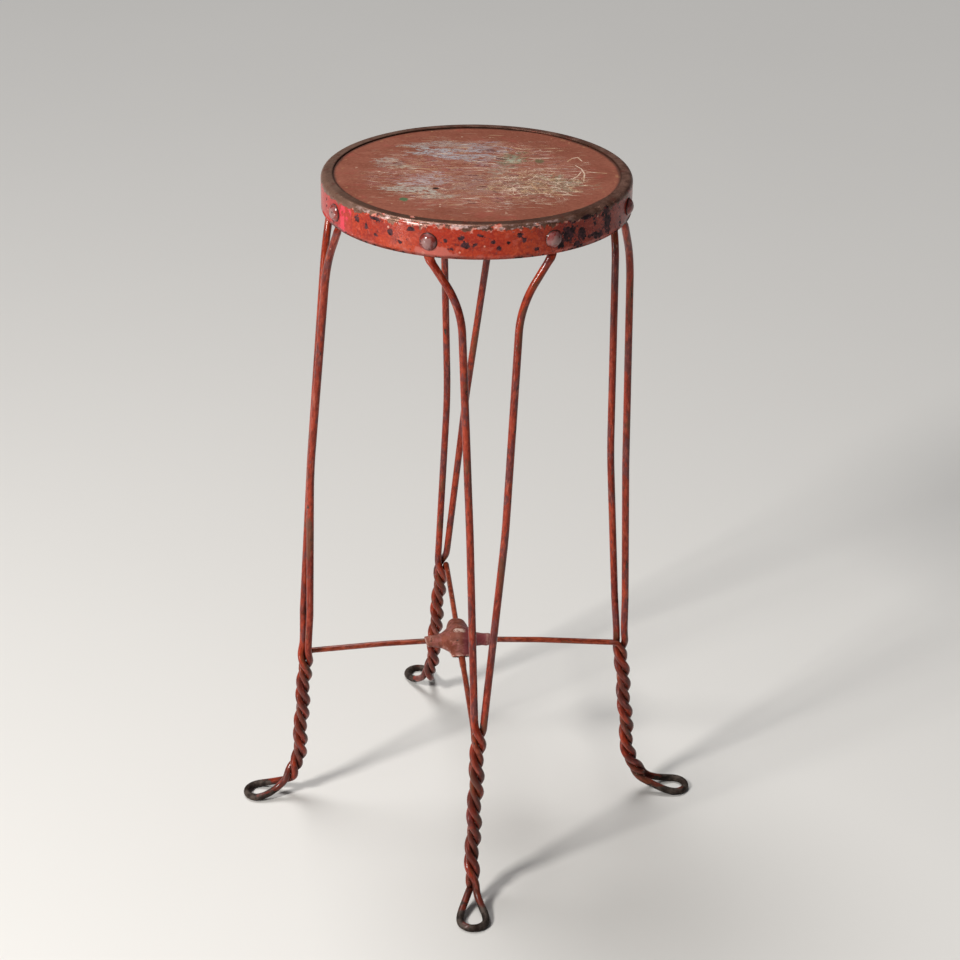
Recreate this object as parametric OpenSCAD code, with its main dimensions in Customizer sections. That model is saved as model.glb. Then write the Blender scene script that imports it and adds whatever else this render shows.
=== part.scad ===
// Wire parlour stool: a round board seat in a riveted steel band, on four legs of
// twisted wire that are tied together by four thin wires and a cast hub.
// The origin is on the floor under the middle of the seat, and +Z is up.
// The legs are counted from the front (-Y): 0 front, 1 right (+X), 2 back, 3 left.

/* [Seat] */
// Height of the top of the band above the floor
seat_height = 760; // [640:1:860]
// Outer diameter of the band
band_d = 318; // [290:1:350]
// Height of the band
band_h = 35; // [33:0.5:50]
// Thickness of the band's sheet steel
sheet_t = 1.6; // [1.2:0.1:2]
// Width of the lip turned in over the board, from the outside of the band
lip_w = 12.5; // [10:0.5:24]
// Outer radius of the rolled shoulder between band and lip
shoulder_r = 5.5; // [3:0.5:8]
// Thickness of the board
board_t = 10; // [6:0.5:12]
// Gap round the edge of the board
board_play = 0.3; // [0.1:0.1:1]

/* [Rivets] */
// Diameter of a rivet's shank
shank_d = 6; // [4:0.5:7]
// Diameter of the round head
head_d = 18; // [11:0.5:20]
// Height of the round head
head_h = 5.5; // [2:0.5:5.5]
// Diameter of the tail formed inside
tail_d = 11; // [9:0.5:14]
// Height of the tail
tail_h = 2.5; // [1.5:0.5:4]
// Gap between a shank and its hole, on the radius
shank_play = 0.1; // [0.05:0.05:0.2]

/* [Leg wire] */
// Diameter of the leg wire
leg_wire_d = 8; // [6:0.1:9]
// Radius of the flattened eye at each end
eye_r = 7.5; // [6.5:0.1:9]
// Thickness of the flattened eye
eye_t = 3.4; // [2.5:0.1:4]
// Gap between an eye and what it lies against
eye_play = 0.1; // [0.05:0.05:0.5]
// Turn of all the legs about the seat's axis, in degrees
leg_turn = 6.2; // [-15:0.1:15]

/* [Uprights] */
// Depth of the lower bend of the uprights under the seat's top
neck_drop = 86; // [70:1:120]
// Distance of that bend from the seat's axis, leg by leg
neck_out = [155, 154, 155, 155]; // [150:0.5:170]
// Half the distance between the two uprights at that bend
neck_half = 29; // [20:1:36]
// Radius of the lower bend
neck_r = 110; // [40:5:130]
// Radius of the upper bend, just under the band
crook_r = 10; // [8:1:20]
// How far the upper bend stands out past the eye
crook_out = 1.5; // [0:0.1:3]
// Sideways place of the neck of each leg, set by hand bending
neck_side = [0, 0, -8, 0]; // [-12:1:12]
// Height at which the uprights bow most
waist_z = 430; // [380:1:480]
// Half the distance between the uprights at that height, leg by leg
waist_half = [18, 15, 11, 15]; // [9:0.5:20]
// Outward bow of the uprights at that height, leg by leg
waist_bow = [3, -4, 3, 5]; // [-5:0.5:12]
// Sideways bow of the uprights at that height, leg by leg
waist_side = [3, 0, -3, 0]; // [-6:0.5:6]
// Turn of the pair of wires where it nears the twist, leg by leg, in degrees
pair_turn = [0, 50, 0, 31]; // [-20:1:55]
// Turn of the pair of wires at the height where it bows most, leg by leg, in degrees
waist_turn = [0, 25, 0, -2]; // [-10:1:28]

/* [Twist and foot] */
// Height of the top of the twist, leg by leg
knot_z = [194, 195, 194, 186]; // [180:1:215]
// Distance of the top of the twist from the seat's axis, leg by leg
knot_out = [183, 170, 193, 187]; // [160:1:205]
// Sideways place of the top of the twist, leg by leg
knot_side = [-9, -8, 18, -6]; // [-25:1:25]
// Length of one full turn of the twist, leg by leg
twist_pitch = [57, 57, 54, 53]; // [52:1:66]
// Number of turns of the twist
twist_turns = 3.5; // [2.5:0.5:3.5]
// How far the ankle stands out from the top of the twist, leg by leg
ankle_out = [14, 19, 14, 14]; // [5:1:22]
// Sideways place of the ankle of each leg
ankle_side = [-17, -11, 31, -10]; // [-40:1:40]
// Radius of the bend from the ankle to the foot
ankle_r = 62; // [40:1:64]
// Reach of each foot's loop from the seat's axis, at the middle of the wire
toe_out = [260, 254, 270, 259]; // [235:1:290]
// Sideways place of the end of each foot's loop
toe_side = [-19, -13, 44, -14]; // [-50:1:50]
// Width of a foot's loop over the wire
loop_w = 36; // [28:1:44]
// Depth of the flat worn under each loop
sole_wear = 0.5; // [0.3:0.1:0.8]

/* [Stretchers and hub] */
// Diameter of the stretcher wire
tie_wire_d = 6.35; // [5:0.05:7]
// Gap between the twisted strands
strand_play = 0.3; // [0.2:0.05:0.5]
// Height of the stretchers in the hub
hub_z = 204; // [198:1:212]
// Place of the hub from the seat's axis, to the right and to the back
hub_at = [-14, 3]; // [-20:1:20]
// Rise of a stretcher's middle over its straight line
tie_bow = 1.5; // [0:0.5:6]
// Radius of the bend where a stretcher turns down into the twist
tie_r = 12; // [8:1:14]
// How far a stretcher stands off the leg's wires where it enters the twist
tie_loose = 0.9; // [0.5:0.1:2]
// Length of each arm of the hub, leg by leg
arm_len = [44, 37, 38, 39]; // [30:1:45]
// Half the height of each arm at its end, leg by leg
arm_end_r = [5, 6.2, 5.6, 6]; // [4.8:0.1:8]
// Half the width of each arm at its end, leg by leg
arm_end_w = [11.4, 6.2, 9.4, 5.4]; // [4.8:0.1:12]
// Half the height that an arm would have at the middle of the hub
arm_root_r = 12.5; // [11.5:0.1:13]
// Half the width that each arm would have at the middle of the hub, leg by leg
arm_root_w = [15.5, 12.5, 17, 15]; // [11.5:0.5:18]
// Share of each arm that the corners of the hub's pyramid reach
hub_reach = 0.5; // [0.45:0.05:0.6]
// Width of the pyramid's top
hub_top_d = 9; // [6:0.5:11]
// Height of the pyramid's top over the stretchers
hub_rise = 14; // [11:0.5:18]
// Wall round the mouth of an arm
mouth_wall = 1.6; // [1:0.1:2]
// Depth of the mouth of an arm
mouth_depth = 5; // [2:0.5:8]
// Gap between a stretcher and its hole in the hub
hub_play = 0.1; // [0.05:0.05:0.3]

/* [Hidden] */
$fn = 96;
legs = [0:3];
sides = [-1, 1];

// How far a cutter runs past what it cuts
past = 2;

// Seat: the board lies against the lip from below, and the eyes close under it
band_r = band_d/2;
inner_r = band_r - sheet_t;
roll_r = shoulder_r - sheet_t;
board_r = inner_r - board_play;
board_top = seat_height - sheet_t;
board_bottom = board_top - board_t;
band_bottom = seat_height - band_h;

// Eyes: their outer face clears the curved band at both edges
rivet_z = board_bottom - eye_play - eye_r;
rivet_half_angle = 360/8/2;
eye_face = sqrt(pow(inner_r, 2) - pow(eye_r, 2)) - eye_play;
hole_r = shank_d/2 + shank_play;
head_ball_r = (pow(head_d/2, 2) + pow(head_h, 2))/(2*head_h);
tail_ball_r = (pow(tail_d/2, 2) + pow(tail_h, 2))/(2*tail_h);

wire_r = leg_wire_d/2;
tie_wire_r = tie_wire_d/2;
loop_r = loop_w/2 - wire_r;
sole_z = wire_r - sole_wear;

// Heights at which the wire is last flat, first round again, and bent outwards
eye_web = 1.5;
flat_above = 0.5;
round_below = 8;
crook_below = 3;
flat_top_z = rivet_z - hole_r - eye_web;
flat_end_z = band_bottom + flat_above;
round_z = band_bottom - round_below;
crook_z = band_bottom - crook_below;

// Share of the eye's width, and skin left off its thickness, in the flat stretch under it
flat_share = 0.8;
flat_skin = 0.1;

// Length over which the two wires come together above the twist, and softness of its start and end
splay_len = 60;
soft_turn = 4;

// Radii of the slight bends at the waist, at the knot and in the middle of a stretcher
waist_r = 900;
knot_r = 200;
tie_middle_r = 400;

// Steps along the wire, round its section and round the end of a loop
ring_step = 5;
wire_sides = 8;
loop_steps = 12;

function turn_rate(i) = 360/twist_pitch[i];
function twist_len(i) = twist_turns*twist_pitch[i];
function lead_len(i) = twist_pitch[i]/3;
function twist_end(i) = twist_len(i) - lead_len(i);

function unit(v) = v/norm(v);
function reversed(list) = [for (k = [len(list) - 1:-1:0]) list[k]];
function smooth(t) = let (x = max(0, min(1, t))) x*x*(3 - 2*x);
function mixed(a, b, t) = a + (b - a)*t;

// A length that stays at 0 up to x = 0 and then grows with x, with a soft start
function ramp(x) = x < -8*soft_turn ? 0 : x > 8*soft_turn ? x : soft_turn*ln(1 + exp(x/soft_turn));

// Points of the arc that rounds the corner b of the way a, b, c, as far as there is room for its radius
function corner(a, b, c, radius, steps) =
    let (p = unit(a - b),
         q = unit(c - b),
         half = acos(max(-1, min(1, p*q)))/2,
         turn = 180 - 2*half,
         room = min(norm(a - b), norm(c - b))*0.95,
         r = min(radius, room*tan(half)),
         centre = b + unit(p + q)*(r/sin(half)),
         from = b + p*(r/tan(half)) - centre,
         to = b + q*(r/tan(half)) - centre)
    [for (k = [0:steps]) let (t = k/steps) centre + (sin((1 - t)*turn)*from + sin(t*turn)*to)/sin(turn)];

// A way through corner points, each rounded with its own radius
function route(points, radii, steps) =
    concat([points[0]],
           [for (k = [1:len(points) - 2])
               let (before = k == 1 ? points[0] : (points[k - 1] + points[k])/2,
                    after = k == len(points) - 2 ? points[k + 1] : (points[k + 1] + points[k])/2)
               each corner(before, points[k], after, radii[k], steps[k])],
           [points[len(points) - 1]]);

// The leg's own frame: x is outwards from the seat's axis, y is sideways, z is up
function leg_angle(i) = leg_turn + 90*i - 90;
function to_leg(i, p) =
    let (a = leg_angle(i)) [p.x*cos(a) + p.y*sin(a), p.y*cos(a) - p.x*sin(a), p.z];
function to_stool(i, p) =
    let (a = leg_angle(i)) [p.x*cos(a) - p.y*sin(a), p.x*sin(a) + p.y*cos(a), p.z];

// Middle line of the leg, from the neck to the toe
function neck(i) = [neck_out[i], neck_side[i], seat_height - neck_drop];
function knot(i) = [knot_out[i], knot_side[i], knot_z[i]];
function toe(i) = [toe_out[i], toe_side[i], sole_z];
function ankle(i) = [knot_out[i] + ankle_out[i], ankle_side[i], sole_z];
function waist(i) =
    let (n = neck(i), k = knot(i))
    mixed(k, n, (waist_z - k.z)/(n.z - k.z)) + [waist_bow[i], waist_side[i], 0];

// The line is measured from the knot: above it the length is less than 0
function lower_line(i) =
    route([knot(i) + unit(waist(i) - knot(i))*splay_len, knot(i), ankle(i), toe(i)],
          [0, knot_r, ankle_r, 0], [0, 3, 14, 0]);
function step_to(line, k) = k < len(line) ? norm(line[k] - line[k - 1]) : 0;
function lengths(line) = [for (k = 0, s = 0; k < len(line); k = k + 1, s = s + step_to(line, k)) s];
function marks(line) =
    let (s = lengths(line)) [for (k = [0:len(line) - 1]) [s[k] - splay_len, line[k]]];
function length_of(marked) = marked[len(marked) - 1][0];
function at(marked, s) =
    [for (axis = [0:2]) lookup(s, [for (m = marked) [m[0], m[1][axis]]])];
function heading(marked, s) = unit(at(marked, s + 3) - at(marked, s - 3));

// Directions across the line: sideways of the leg above, and sideways of the foot below
function foot_side(i) = let (d = toe(i) - ankle(i)) unit([-d.y, d.x, 0]);
function across(i, s) = unit(mixed([0, 1, 0], foot_side(i), smooth(s/twist_end(i))));
function beside(i, marked, s, distance, turn) =
    let (t = heading(marked, s),
         c = across(i, s),
         y = unit(c - t*(c*t)),
         x = cross(t, y))
    at(marked, s) + distance*(cos(turn)*x + sin(turn)*y);

// Least distance between two strands of radius a and b, a given turn apart
function strand_gap(a, b, turn) =
    min([for (w = [-60:3:60]) sqrt(a*a + b*b - 2*a*b*cos(turn + w) + pow(w*min(twist_pitch)/360, 2))]);
function leg_strand_r(low, high, n) =
    let (mid = (low + high)/2)
    n == 0 ? high
    : strand_gap(mid, mid, 120) < leg_wire_d + strand_play ? leg_strand_r(mid, high, n - 1)
    : leg_strand_r(low, mid, n - 1);
function tie_strand_r(low, high, n) =
    let (mid = (low + high)/2)
    n == 0 ? high
    : strand_gap(mid, leg_r, 120) < wire_r + tie_wire_r + strand_play ? tie_strand_r(mid, high, n - 1)
    : tie_strand_r(low, mid, n - 1);
leg_r = leg_strand_r(1, leg_wire_d, 12);
tie_r_in_twist = tie_strand_r(1, leg_wire_d, 12);

// Turn and distance of a leg strand along the line; side is -1 or 1
function strand_turn(i, side, s) =
    let (lead = side < 0 ? lead_len(i) : lead_len(i)/2,
         rate = turn_rate(i))
    side*90 + pair_turn[i] + rate*(ramp(s + lead - pair_turn[i]/rate) - ramp(s + lead - twist_len(i)));
function splay_slope(i) = (waist_half[i] - leg_r)/(waist_z - knot_z[i] - lead_len(i));
function splay_out(i, s) = leg_r + splay_slope(i)*ramp(-s - lead_len(i));
function strand_out(i, s, widest) =
    splay_out(i, s) + (loop_r - leg_r)*smooth((s - twist_end(i))/(widest - twist_end(i)));

// How round the wire is at a height: 0 in the flattened end, 1 where it is whole
function roundness(z) = smooth((flat_end_z - z)/(flat_end_z - round_z));

// One upright from its eye down to the start of the splayed strands
function upright_mark(side, z) =
    let (r = eye_face - eye_t/2 + crook_out*roundness(z))
    [r*cos(rivet_half_angle), side*r*sin(rivet_half_angle), z];
function apart(distance, turn) = distance*[cos(turn), sin(turn), 0];
function upright(i, side, marked) =
    concat([upright_mark(side, flat_top_z)],
           route([upright_mark(side, flat_end_z),
                  upright_mark(side, crook_z),
                  neck(i) + apart(neck_half, side*90 + waist_turn[i]/4),
                  waist(i) + apart(waist_half[i], side*90 + waist_turn[i]),
                  beside(i, marked, -splay_len, splay_out(i, -splay_len), strand_turn(i, side, -splay_len))],
                 [0, crook_r, neck_r, waist_r, 0], [0, 3, 6, 3, 0]));

// A strand through the twist to the widest place of the loop
function strand(i, side, marked, widest) =
    [for (k = [1:ceil((widest + splay_len)/ring_step)])
        let (s = -splay_len + k*(widest + splay_len)/ceil((widest + splay_len)/ring_step))
        beside(i, marked, s, strand_out(i, s, widest), strand_turn(i, side, s))];

// The round end of the loop, from one strand to the other
function loop_end(i, marked, widest, from_side) =
    [for (k = [1:loop_steps - 1])
        let (a = 180*k/loop_steps, s = widest + loop_r*sin(a))
        beside(i, marked, s, abs(loop_r*cos(a)), (a < 90 ? from_side : -from_side)*90)];

function leg_points(i) =
    let (marked = marks(lower_line(i)),
         widest = length_of(marked) - loop_r,
         end_side = sin(strand_turn(i, -1, widest)) < 0 ? -1 : 1)
    concat(upright(i, -1, marked), strand(i, -1, marked, widest),
           loop_end(i, marked, widest, end_side),
           reversed(strand(i, 1, marked, widest)), reversed(upright(i, 1, marked)));

// Half the width and half the thickness of the wire, flattened towards each eye
function leg_section(p) =
    let (t = roundness(p.z))
    [mixed(eye_r*flat_share, wire_r, t), mixed(eye_t/2 - flat_skin, wire_r, t)];

function headings(p) =
    let (last = len(p) - 1) [for (k = [0:last]) unit(p[min(k + 1, last)] - p[max(k - 1, 0)])];
function carried(t, side) =
    [for (k = 0, y = unit(side - t[0]*(side*t[0])); k < len(t);
          k = k + 1, y = k < len(t) ? unit(y - t[k]*(y*t[k])) : y) y];

// The same, turned a little on the way so that it ends along a given side
function turned_to(t, y, side) =
    let (last = len(t) - 1,
         goal = unit(side - t[last]*(side*t[last])),
         short = atan2(cross(y[last], goal)*t[last], y[last]*goal))
    [for (k = [0:last]) let (a = short*smooth((k/last - 0.2)/0.6)) cos(a)*y[k] + sin(a)*cross(t[k], y[k])];

// A solid wire along points; sections holds its two half widths at each point
module wire(points, sections, start_side, end_side) {
    last = len(points) - 1;
    t = headings(points);
    y = turned_to(t, carried(t, start_side), end_side);
    rings = [for (k = [0:last], j = [0:wire_sides - 1])
        let (a = 360*(j + 0.5)/wire_sides)
        points[k] + sections[k][0]*cos(a)*y[k] + sections[k][1]*sin(a)*cross(t[k], y[k])];
    skin = [for (k = [0:last - 1], j = [0:wire_sides - 1])
        let (a = k*wire_sides + j, b = k*wire_sides + (j + 1)%wire_sides)
        each [[a, b + wire_sides, b], [a, a + wire_sides, b + wire_sides]]];
    start = [for (j = [1:wire_sides - 2]) [0, j, j + 1]];
    end = [for (j = [1:wire_sides - 2]) [0, j + 1, j] + [1, 1, 1]*last*wire_sides];
    polyhedron(points = rings, faces = concat(skin, start, end));
}

// Room on every side of a foot in the cut that makes its sole flat
foot_room = 60;

// Puts its children at a rivet of the leg's frame, with +Z outwards through the band
module at_rivet(side) {
    rotate([0, 0, side*rivet_half_angle])
        translate([0, 0, rivet_z])
            rotate([0, 90, 0])
                children();
}

// Cutter for the hole through a wall that lies between two distances from the seat's axis
module rivet_hole(from, thickness) {
    translate([0, 0, from - past]) cylinder(r = hole_r, h = thickness + 2*past);
}

module in_leg(i) {
    rotate([0, 0, leg_angle(i)]) children();
}

// Cap of a ball, with its flat side on the plane z = 0
module dome(r, h, ball_r) {
    intersection() {
        translate([0, 0, h - ball_r]) sphere(ball_r, $fn = 48);
        cylinder(r = r, h = h, $fn = 48);
    }
}

module seat_board() {
    color("#8e4f40")
        rotate_extrude()
            union() {
                translate([0, board_bottom]) square([board_r, board_t - roll_r]);
                translate([0, board_bottom]) square([board_r - roll_r, board_t]);
                intersection() {
                    translate([board_r - roll_r, board_top - roll_r]) circle(roll_r);
                    translate([0, board_bottom]) square([board_r, board_t]);
                }
            }
}

module band_section() {
    lip_tip = band_r - lip_w + sheet_t/2;
    translate([inner_r, band_bottom]) square([sheet_t, band_h - shoulder_r]);
    translate([lip_tip, board_top]) square([band_r - shoulder_r - lip_tip, sheet_t]);
    translate([lip_tip, board_top + sheet_t/2]) circle(sheet_t/2, $fn = 24);
    intersection() {
        translate([band_r - shoulder_r, seat_height - shoulder_r])
            difference() {
                circle(shoulder_r);
                circle(roll_r);
            }
        translate([band_r - shoulder_r, seat_height - shoulder_r]) square(shoulder_r);
    }
}

module seat_band() {
    color("#a8402f")
        difference() {
            rotate_extrude() band_section();
            for (i = legs, side = sides)
                in_leg(i) at_rivet(side) rivet_hole(inner_r, sheet_t);
        }
}

module rivet() {
    shank_from = eye_face - eye_t - tail_h/2;
    shank_to = band_r + head_h/4;
    translate([0, 0, shank_from]) cylinder(d = shank_d, h = shank_to - shank_from);
    translate([0, 0, band_r]) dome(head_d/2, head_h, head_ball_r);
    translate([0, 0, eye_face - eye_t]) mirror([0, 0, 1]) dome(tail_d/2, tail_h, tail_ball_r);
}

module band_rivets() {
    color("#8c3b2e")
        for (i = legs, side = sides)
            in_leg(i) at_rivet(side) rivet();
}

module leg(i) {
    points = leg_points(i);
    along_band = [for (side = sides) [-side*sin(rivet_half_angle), cos(rivet_half_angle), 0]];
    in_leg(i)
        difference() {
            union() {
                wire(points, [for (p = points) leg_section(p)], along_band[0], along_band[1]);
                for (side = sides)
                    at_rivet(side) translate([0, 0, eye_face - eye_t]) cylinder(r = eye_r, h = eye_t);
            }
            for (side = sides)
                at_rivet(side) rivet_hole(eye_face - eye_t, eye_t);
            translate([0, toe_side[i] - foot_room, -wire_r])
                cube([toe_out[i] + foot_room, 2*foot_room, wire_r]);
        }
}

module leg_front() {
    color("#7c3428") leg(0);
}

module leg_right() {
    color("#7c3428") leg(1);
}

module leg_back() {
    color("#7c3428") leg(2);
}

module leg_left() {
    color("#7c3428") leg(3);
}

// Stretcher: from the hub to the twist, which it enters on the leg's far side
hub_centre = [hub_at.x, hub_at.y, hub_z];

// Distance of its end from the hub's middle, and straight stretch before the twist
tie_start = 6;
tie_lead = 8;

// Length over which it settles into the twist, and how far it stops short of the twist's end
tie_settle = 16;
tie_short = 2;
function tie_end(i) = twist_end(i) - tie_short;
function tie_out(s) = tie_r_in_twist + tie_loose*smooth(1 - s/tie_settle);
function tie_strand(i, marked, s) = beside(i, marked, s, tie_out(s), -90 + turn_rate(i)*s);
function tie_corner(i, marked) =
    let (p = tie_strand(i, marked, 0)) p - unit(tie_strand(i, marked, 1) - p)*tie_lead;
function tie_middle(i) =
    let (h = to_leg(i, hub_centre)) (h + tie_corner(i, marks(lower_line(i))))/2 + [0, 0, tie_bow];
function tie_heading(i) = unit(tie_middle(i) - to_leg(i, hub_centre));
function tie_points(i) =
    let (marked = marks(lower_line(i)),
         h = to_leg(i, hub_centre),
         rings = ceil(tie_end(i)/ring_step))
    concat(route([h + tie_heading(i)*tie_start,
                  tie_middle(i),
                  tie_corner(i, marked),
                  tie_strand(i, marked, 0)],
                 [0, tie_middle_r, tie_r, 0], [0, 4, 6, 0]),
           [for (k = [1:rings]) tie_strand(i, marked, tie_end(i)*k/rings)]);

module stretcher(i) {
    points = tie_points(i);
    in_leg(i) wire(points, [for (p = points) [tie_wire_r, tie_wire_r]], [0, 1, 0], [0, 1, 0]);
}

module stretcher_front() {
    color("#84382b") stretcher(0);
}

module stretcher_right() {
    color("#84382b") stretcher(1);
}

module stretcher_back() {
    color("#84382b") stretcher(2);
}

module stretcher_left() {
    color("#84382b") stretcher(3);
}

// Rim of the pyramid's corners round the arms, and hole for a stretcher
corner_rim = 0.5;
tie_hole_r = tie_wire_r + hub_play;
function corner_at(i) = hub_reach*arm_len[i];
function corner_r(i) = mixed(arm_root_r, arm_end_r[i], hub_reach);
function corner_w(i) = mixed(arm_root_w[i], arm_end_w[i], hub_reach);
function rim_r(i) = corner_r(i) + corner_rim;
function rim_w(i) = corner_w(i) + corner_rim;
function mouth_size(half) = max(half - mouth_wall, tie_hole_r + hub_play);

// Points +Z of its children along a direction
module aim(d) {
    rotate([0, acos(d.z/norm(d)), atan2(d.y, d.x)]) children();
}

// A round or wider disc across an arm, from a height
module arm_disc(half_h, half_w, from, thickness) {
    translate([0, 0, from]) scale([1, half_w/half_h, 1]) cylinder(h = thickness, r = half_h, $fn = 48);
}

module hub() {
    color("#8b4a3e")
        translate(hub_centre)
            difference() {
                union() {
                    hull() {
                        translate([0, 0, hub_rise - 1]) cylinder(d = hub_top_d, h = 1, $fn = 24);
                        for (i = legs)
                            aim(to_stool(i, tie_heading(i)))
                                arm_disc(rim_r(i), rim_w(i), corner_at(i) - 1, 1);
                    }
                    for (i = legs)
                        aim(to_stool(i, tie_heading(i)))
                            hull() {
                                arm_disc(corner_r(i), corner_w(i), corner_at(i) - 1, 0.5);
                                arm_disc(arm_end_r[i], arm_end_w[i], arm_len[i] - 0.5, 0.5);
                            }
                }
                for (i = legs)
                    aim(to_stool(i, tie_heading(i))) {
                        translate([0, 0, tie_start - hub_play]) cylinder(h = arm_len[i], r = tie_hole_r);
                        arm_disc(mouth_size(arm_end_r[i]), mouth_size(arm_end_w[i]),
                                 arm_len[i] - mouth_depth, mouth_depth + past);
                    }
            }
}

seat_board();
seat_band();
band_rivets();
leg_front();
leg_right();
leg_back();
leg_left();
stretcher_front();
stretcher_right();
stretcher_back();
stretcher_left();
hub();
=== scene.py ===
"""Wire stool: a scuffed board seat in a chipped steel band, on four twisted wire legs tied to a hub."""

import math
import random

import bmesh
import bpy
from mathutils import Euler, Matrix, Vector, noise
from mathutils.kdtree import KDTree


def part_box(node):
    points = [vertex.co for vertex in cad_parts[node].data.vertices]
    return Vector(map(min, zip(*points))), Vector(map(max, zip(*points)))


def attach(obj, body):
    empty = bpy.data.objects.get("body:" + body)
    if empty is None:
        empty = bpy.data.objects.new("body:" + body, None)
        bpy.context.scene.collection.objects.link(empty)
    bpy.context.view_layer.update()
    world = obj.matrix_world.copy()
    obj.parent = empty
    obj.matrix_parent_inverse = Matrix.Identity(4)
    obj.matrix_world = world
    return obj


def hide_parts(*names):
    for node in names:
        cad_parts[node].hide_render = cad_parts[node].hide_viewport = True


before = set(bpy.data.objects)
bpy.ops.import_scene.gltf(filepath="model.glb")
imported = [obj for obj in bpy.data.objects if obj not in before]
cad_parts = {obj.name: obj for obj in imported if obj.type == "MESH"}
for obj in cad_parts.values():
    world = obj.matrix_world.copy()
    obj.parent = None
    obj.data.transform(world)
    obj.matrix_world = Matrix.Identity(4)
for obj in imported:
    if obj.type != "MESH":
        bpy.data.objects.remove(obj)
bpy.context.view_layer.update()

# Seat board
# A round board, slipped into the band from below until it lies against the lip. The flattened ends of the
# legs hold it up. Its top is painted brown-red over older coats, and scuffed through in the middle by use.
# The underside is bare wood, gone dark with age.
mm = 0.001
board_low, board_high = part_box("seat_board")
board_r = (board_high[0] - board_low[0])/2
board_top = board_high[2]
board_bottom = board_low[2]
board_edge = 1.2*mm
board_round = 3.9*mm
board_sag = 0.5*mm
seat_height = 758  # in mm, for the places of marks on the seat


def spun(outline, steps, closed=False, near=0.001*mm):
    """An outline of (radius, height) points, spun round the Z axis as on a lathe."""
    shape = bmesh.new()
    corners = [shape.verts.new((r, 0, z)) for r, z in outline]
    pairs = list(zip(corners, corners[1:]))
    if closed:
        pairs.append((corners[-1], corners[0]))
    lines = [shape.edges.new(pair) for pair in pairs]
    bmesh.ops.spin(shape, geom=corners + lines, angle=2*math.pi, steps=steps, axis=(0, 0, 1), use_merge=True)
    bmesh.ops.remove_doubles(shape, verts=shape.verts, dist=near)
    return shape


def turned(outline, steps, closed=False):
    """A turned shape without slivers, with its faces outward."""
    shape = spun(outline, steps, closed)
    bmesh.ops.dissolve_degenerate(shape, edges=shape.edges, dist=0.001*mm)
    bmesh.ops.recalc_face_normals(shape, faces=shape.faces)
    return shape


def arc(centre, radius, start, end, steps):
    """Points of a round corner in an outline, from one angle to another in degrees."""
    angles = [math.radians(start + (end - start)*k/steps) for k in range(steps + 1)]
    return [(centre[0] + radius*math.cos(a), centre[1] + radius*math.sin(a)) for a in angles]


def finished(name, shape, material):
    """The object made from a shape, smooth and in its material."""
    mesh = bpy.data.meshes.new(name)
    shape.to_mesh(mesh)
    shape.free()
    mesh.shade_smooth()
    mesh.materials.append(material)
    piece = bpy.data.objects.new(name, mesh)
    bpy.context.collection.objects.link(piece)
    return piece


def put(kind, inputs, **settings):
    """Adds a node to the tree that its inputs come from. A socket is linked to its input, a value is set."""
    tree = next(value.id_data for value in inputs.values() if isinstance(value, bpy.types.NodeSocket))
    made = tree.nodes.new(kind)
    for name, value in settings.items():
        setattr(made, name, value)
    for key, value in inputs.items():
        if isinstance(value, bpy.types.NodeSocket):
            tree.links.new(value, made.inputs[key])
        else:
            made.inputs[key].default_value = value
    return made.outputs


def sum_of(operation, a, b=0.5):
    """The result of a sum on one or two numbers."""
    return put("ShaderNodeMath", {0: a, 1: b}, operation=operation)[0]


def chained(operation, parts):
    """The result of one kind of sum on a row of numbers."""
    result = parts[0]
    for part in parts[1:]:
        result = sum_of(operation, result, part)
    return result


def added(*parts):
    """The sum of some values."""
    return chained("ADD", parts)


def both(*masks):
    """Where all of these masks are set, or one mask at a strength."""
    return chained("MULTIPLY", masks)


def either(*masks):
    """Where one of these masks is set."""
    return chained("MAXIMUM", masks)


def eased(value, low, high, start=0.0, end=1.0):
    """A soft step of value between low and high, from start to end."""
    return put("ShaderNodeMapRange", {"Value": value, "From Min": low, "From Max": high, "To Min": start,
                                      "To Max": end}, interpolation_type="SMOOTHSTEP")[0]


def fading(value, low, high):
    """A soft step down from 1 to 0."""
    return eased(value, low, high, 1.0, 0.0)


def mixed(amount, a, b):
    """Colour a, turned into colour b by an amount."""
    a, b = [colour if isinstance(colour, bpy.types.NodeSocket) else (*colour, 1) for colour in (a, b)]
    return put("ShaderNodeMix", {0: amount, 6: a, 7: b}, data_type="RGBA")[2]


def over(paint, colour, mask, strength):
    """A colour laid over the paint where a mask is set."""
    return mixed(both(mask, strength), paint, colour)


def clouds(where, scale, detail=4.0, roughness=0.55, distortion=0.0):
    """Even cloudy variation between 0 and 1."""
    return put("ShaderNodeTexNoise", {"Vector": where, "Scale": scale, "Detail": detail,
                                      "Roughness": roughness, "Distortion": distortion})["Fac"]


def clouded(where, scale, a, b, low=0.35, high=0.65, detail=4.0, roughness=0.55):
    """Colour a that goes over to colour b in clouds."""
    return mixed(eased(clouds(where, scale, detail, roughness), low, high), a, b)


def wobble(where, amount, scale, detail=4.0, roughness=0.55):
    """Cloudy variation round 0, to make the edge of a mask ragged."""
    return both(sum_of("SUBTRACT", clouds(where, scale, detail, roughness), 0.5), amount)


def stretched(where, scale, turn=0.0):
    """Coordinates turned round Z and stretched, evenly or with its own scale each way."""
    scale = scale if isinstance(scale, tuple) else (scale, scale, scale)
    return put("ShaderNodeMapping", {"Vector": where, "Scale": scale, "Rotation": (0, 0, turn)})[0]


def vectors(operation, a, b, result=0):
    """The result of a sum on two vectors."""
    return put("ShaderNodeVectorMath", {0: a, 1: b}, operation=operation)[result]


def scaled(vector, amount):
    """A vector made longer or shorter."""
    return put("ShaderNodeVectorMath", {0: vector, "Scale": amount}, operation="SCALE")[0]


def length_of(vector):
    """The length of a vector."""
    return put("ShaderNodeVectorMath", {0: vector}, operation="LENGTH")["Value"]


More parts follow.
